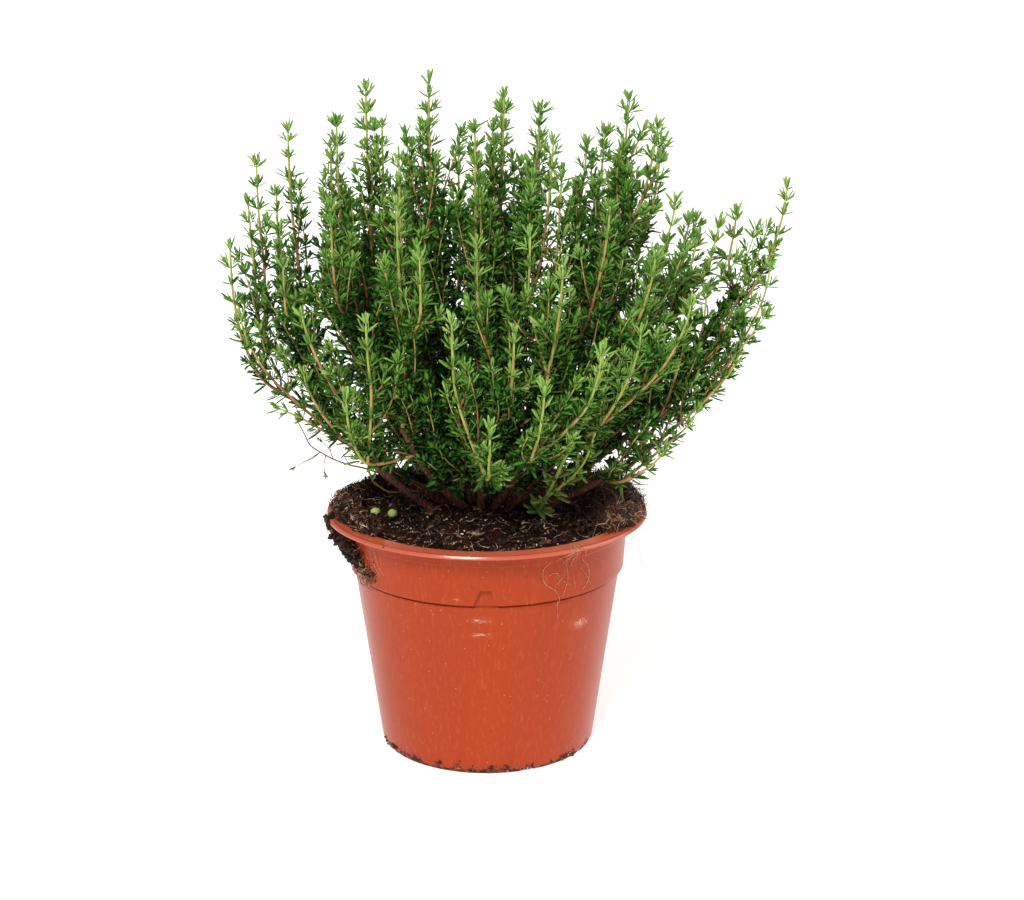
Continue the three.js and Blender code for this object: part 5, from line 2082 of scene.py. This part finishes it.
    def dry_twigs(self) -> None:
        """Builds the thin stems without leaves, some with a small dry tuft at their end."""
        piece = Piece("dry_twigs", "bark", [STEM, LEAF])
        for i, (radius, tone, tufted, points) in enumerate(self.twigs):
            path = smooth_path(np.array(points, dtype=float), 48)
            vertices, faces = tubes(path[None], np.linspace(radius, 0.5 * radius, 48)[None], 7)
            piece.add(vertices, faces, 0, growth_of(tone, len(vertices)))
            if tufted:
                line = partial(followed, stations=np.linspace(0, 1, 20), points=path[-20:])
                Shoot(line, (0.5 * radius, 0.4 * radius), Vigour.SPENT, 800 + i, 1.0, 4).add_to(piece)
        piece.build()

    def build(self) -> None:
        """Builds the whole plant."""
        for number, branch in enumerate(BRANCHES):
            self.woody_stem(branch, number)
            for order, tips in enumerate(branch.sprays):
                self.spray(branch, number, tips, order)
        self.young_shoots()
        self.dry_twigs()


# ---- studio


@dataclass
class Studio:
    """A wide floor of lit opal sheet, an even white room, two soft lamps and a camera a little above."""

    camera_place: tuple[float, float, float] = (0.01018, -0.800, 0.34209)
    camera_tilt: float = 74.61
    lens: float = 72.43
    sensor: float = 36.0
    floor_rings: tuple[float, ...] = (0.2, 0.5, 1.2, 3.0, 7.0, 14.0)
    floor_segments: int = 72
    room_light: float = 0.35
    # Each lamp as (name, power, how far its light spreads in degrees, turn in degrees).
    lamps: tuple[tuple[str, float, float, tuple[float, float, float]], ...] = (
        ("front_lamp", 2.45, 20.0, (46.0, 0.0, -18.0)), ("side_lamp", 1.05, 50.0, (54.0, 0.0, 100.0)))

    def floor(self) -> None:
        """Lays the floor as rings of sheet that widen outwards."""
        turn = np.linspace(0, 2 * math.pi, self.floor_segments, endpoint=False)
        rings = np.array([(r * math.cos(t), r * math.sin(t), 0.0) for r in self.floor_rings for t in turn]
                         + [(0.0, 0.0, 0.0)])
        index = np.arange(len(rings) - 1).reshape(len(self.floor_rings), self.floor_segments)
        nxt = np.roll(index, -1, axis=1)
        quads = np.stack((index[:-1], index[1:], nxt[1:], nxt[:-1]), axis=-1).reshape(-1, 4).tolist()
        middle = [(len(rings) - 1, int(a), int(b)) for a, b in zip(index[0], nxt[0])]
        mesh = bpy.data.meshes.new("opal_floor")
        mesh.from_pydata(rings.tolist(), [], quads + middle)
        mesh.materials.append(OpalAcrylic().material())
        floor = bpy.data.objects.new("opal_floor", mesh)
        bpy.context.scene.collection.objects.link(floor)
        floor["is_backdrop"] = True

    def lights(self) -> None:
        """Hangs the lamps and fills the room with an even white."""
        for name, power, spread, turn in self.lamps:
            lamp = bpy.data.lights.new(name, "SUN")
            lamp.energy, lamp.angle = power, math.radians(spread)
            hung = bpy.data.objects.new(name, lamp)
            hung.rotation_euler = tuple(math.radians(angle) for angle in turn)
            bpy.context.scene.collection.objects.link(hung)
        world = bpy.data.worlds.new("white_room")
        world.use_nodes = True
        world.node_tree.nodes.clear()
        air = add_node(world.node_tree, "Background", {"Color": (1, 1, 1, 1), "Strength": self.room_light})
        add_node(world.node_tree, "OutputWorld", {"Surface": air})
        bpy.context.scene.world = world
        bpy.context.scene.view_settings.view_transform = "Standard"

    def camera(self) -> None:
        """Sets up the camera."""
        data = bpy.data.cameras.new("camera")
        data.lens, data.sensor_width = self.lens, self.sensor
        data.clip_start, data.clip_end = 0.05, 50.0
        camera = bpy.data.objects.new("camera", data)
        camera.location = self.camera_place
        camera.rotation_euler = (math.radians(self.camera_tilt), 0.0, 0.0)
        bpy.context.scene.collection.objects.link(camera)
        bpy.context.scene.camera = camera

    def build(self) -> None:
        """Builds the studio."""
        self.floor()
        self.lights()
        self.camera()


def main() -> None:
    """Builds the potted thyme and the studio."""
    logging.basicConfig(level=logging.INFO, format="%(name)s %(message)s", stream=sys.stdout)
    pot = NurseryPot()
    pot.build()
    soil = RootBall(pot)
    soil.build()
    for clump in (
            RimClump(pot, "spilled_soil", "peat", key=500, start=150, end=224, away=56.7, level=98.6,
                     radius=7.8, tone=0.74, crumb_count=460, thread_count=820, thread_length=6.5,
                     looseness=0.8),
            RimClump(pot, "root_mat", "fine_roots", key=501, start=-36, end=40, away=57.6, level=99.8,
                     radius=7.6, tone=0.70, crumb_count=60, thread_count=1200, thread_length=10.0,
                     looseness=2.6),
            RimClump(pot, "back_soil", "peat", key=502, start=84, end=170, away=55.4, level=97.6,
                     radius=6.9, tone=0.6, crumb_count=380, thread_count=260, thread_length=6.0,
                     looseness=0.6, solid=False)):
        clump.build()
    RootTangle(soil).build()
    ClingingSoil(pot).build()
    for number, place in enumerate(soil.beads, 1):
        Granule(soil, number, place).build()
    StrayRoots(pot).build()
    FootDirt(pot).build()
    ThymePlant(soil).build()
    Studio().build()
    boxes = {name: [list(corner) for corner in box]
             for name, box in (("cad", CAD_BOX), ("visual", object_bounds()))}
    LOG.info("boxes: %s", boxes)


if __name__ == "__main__":
    main()
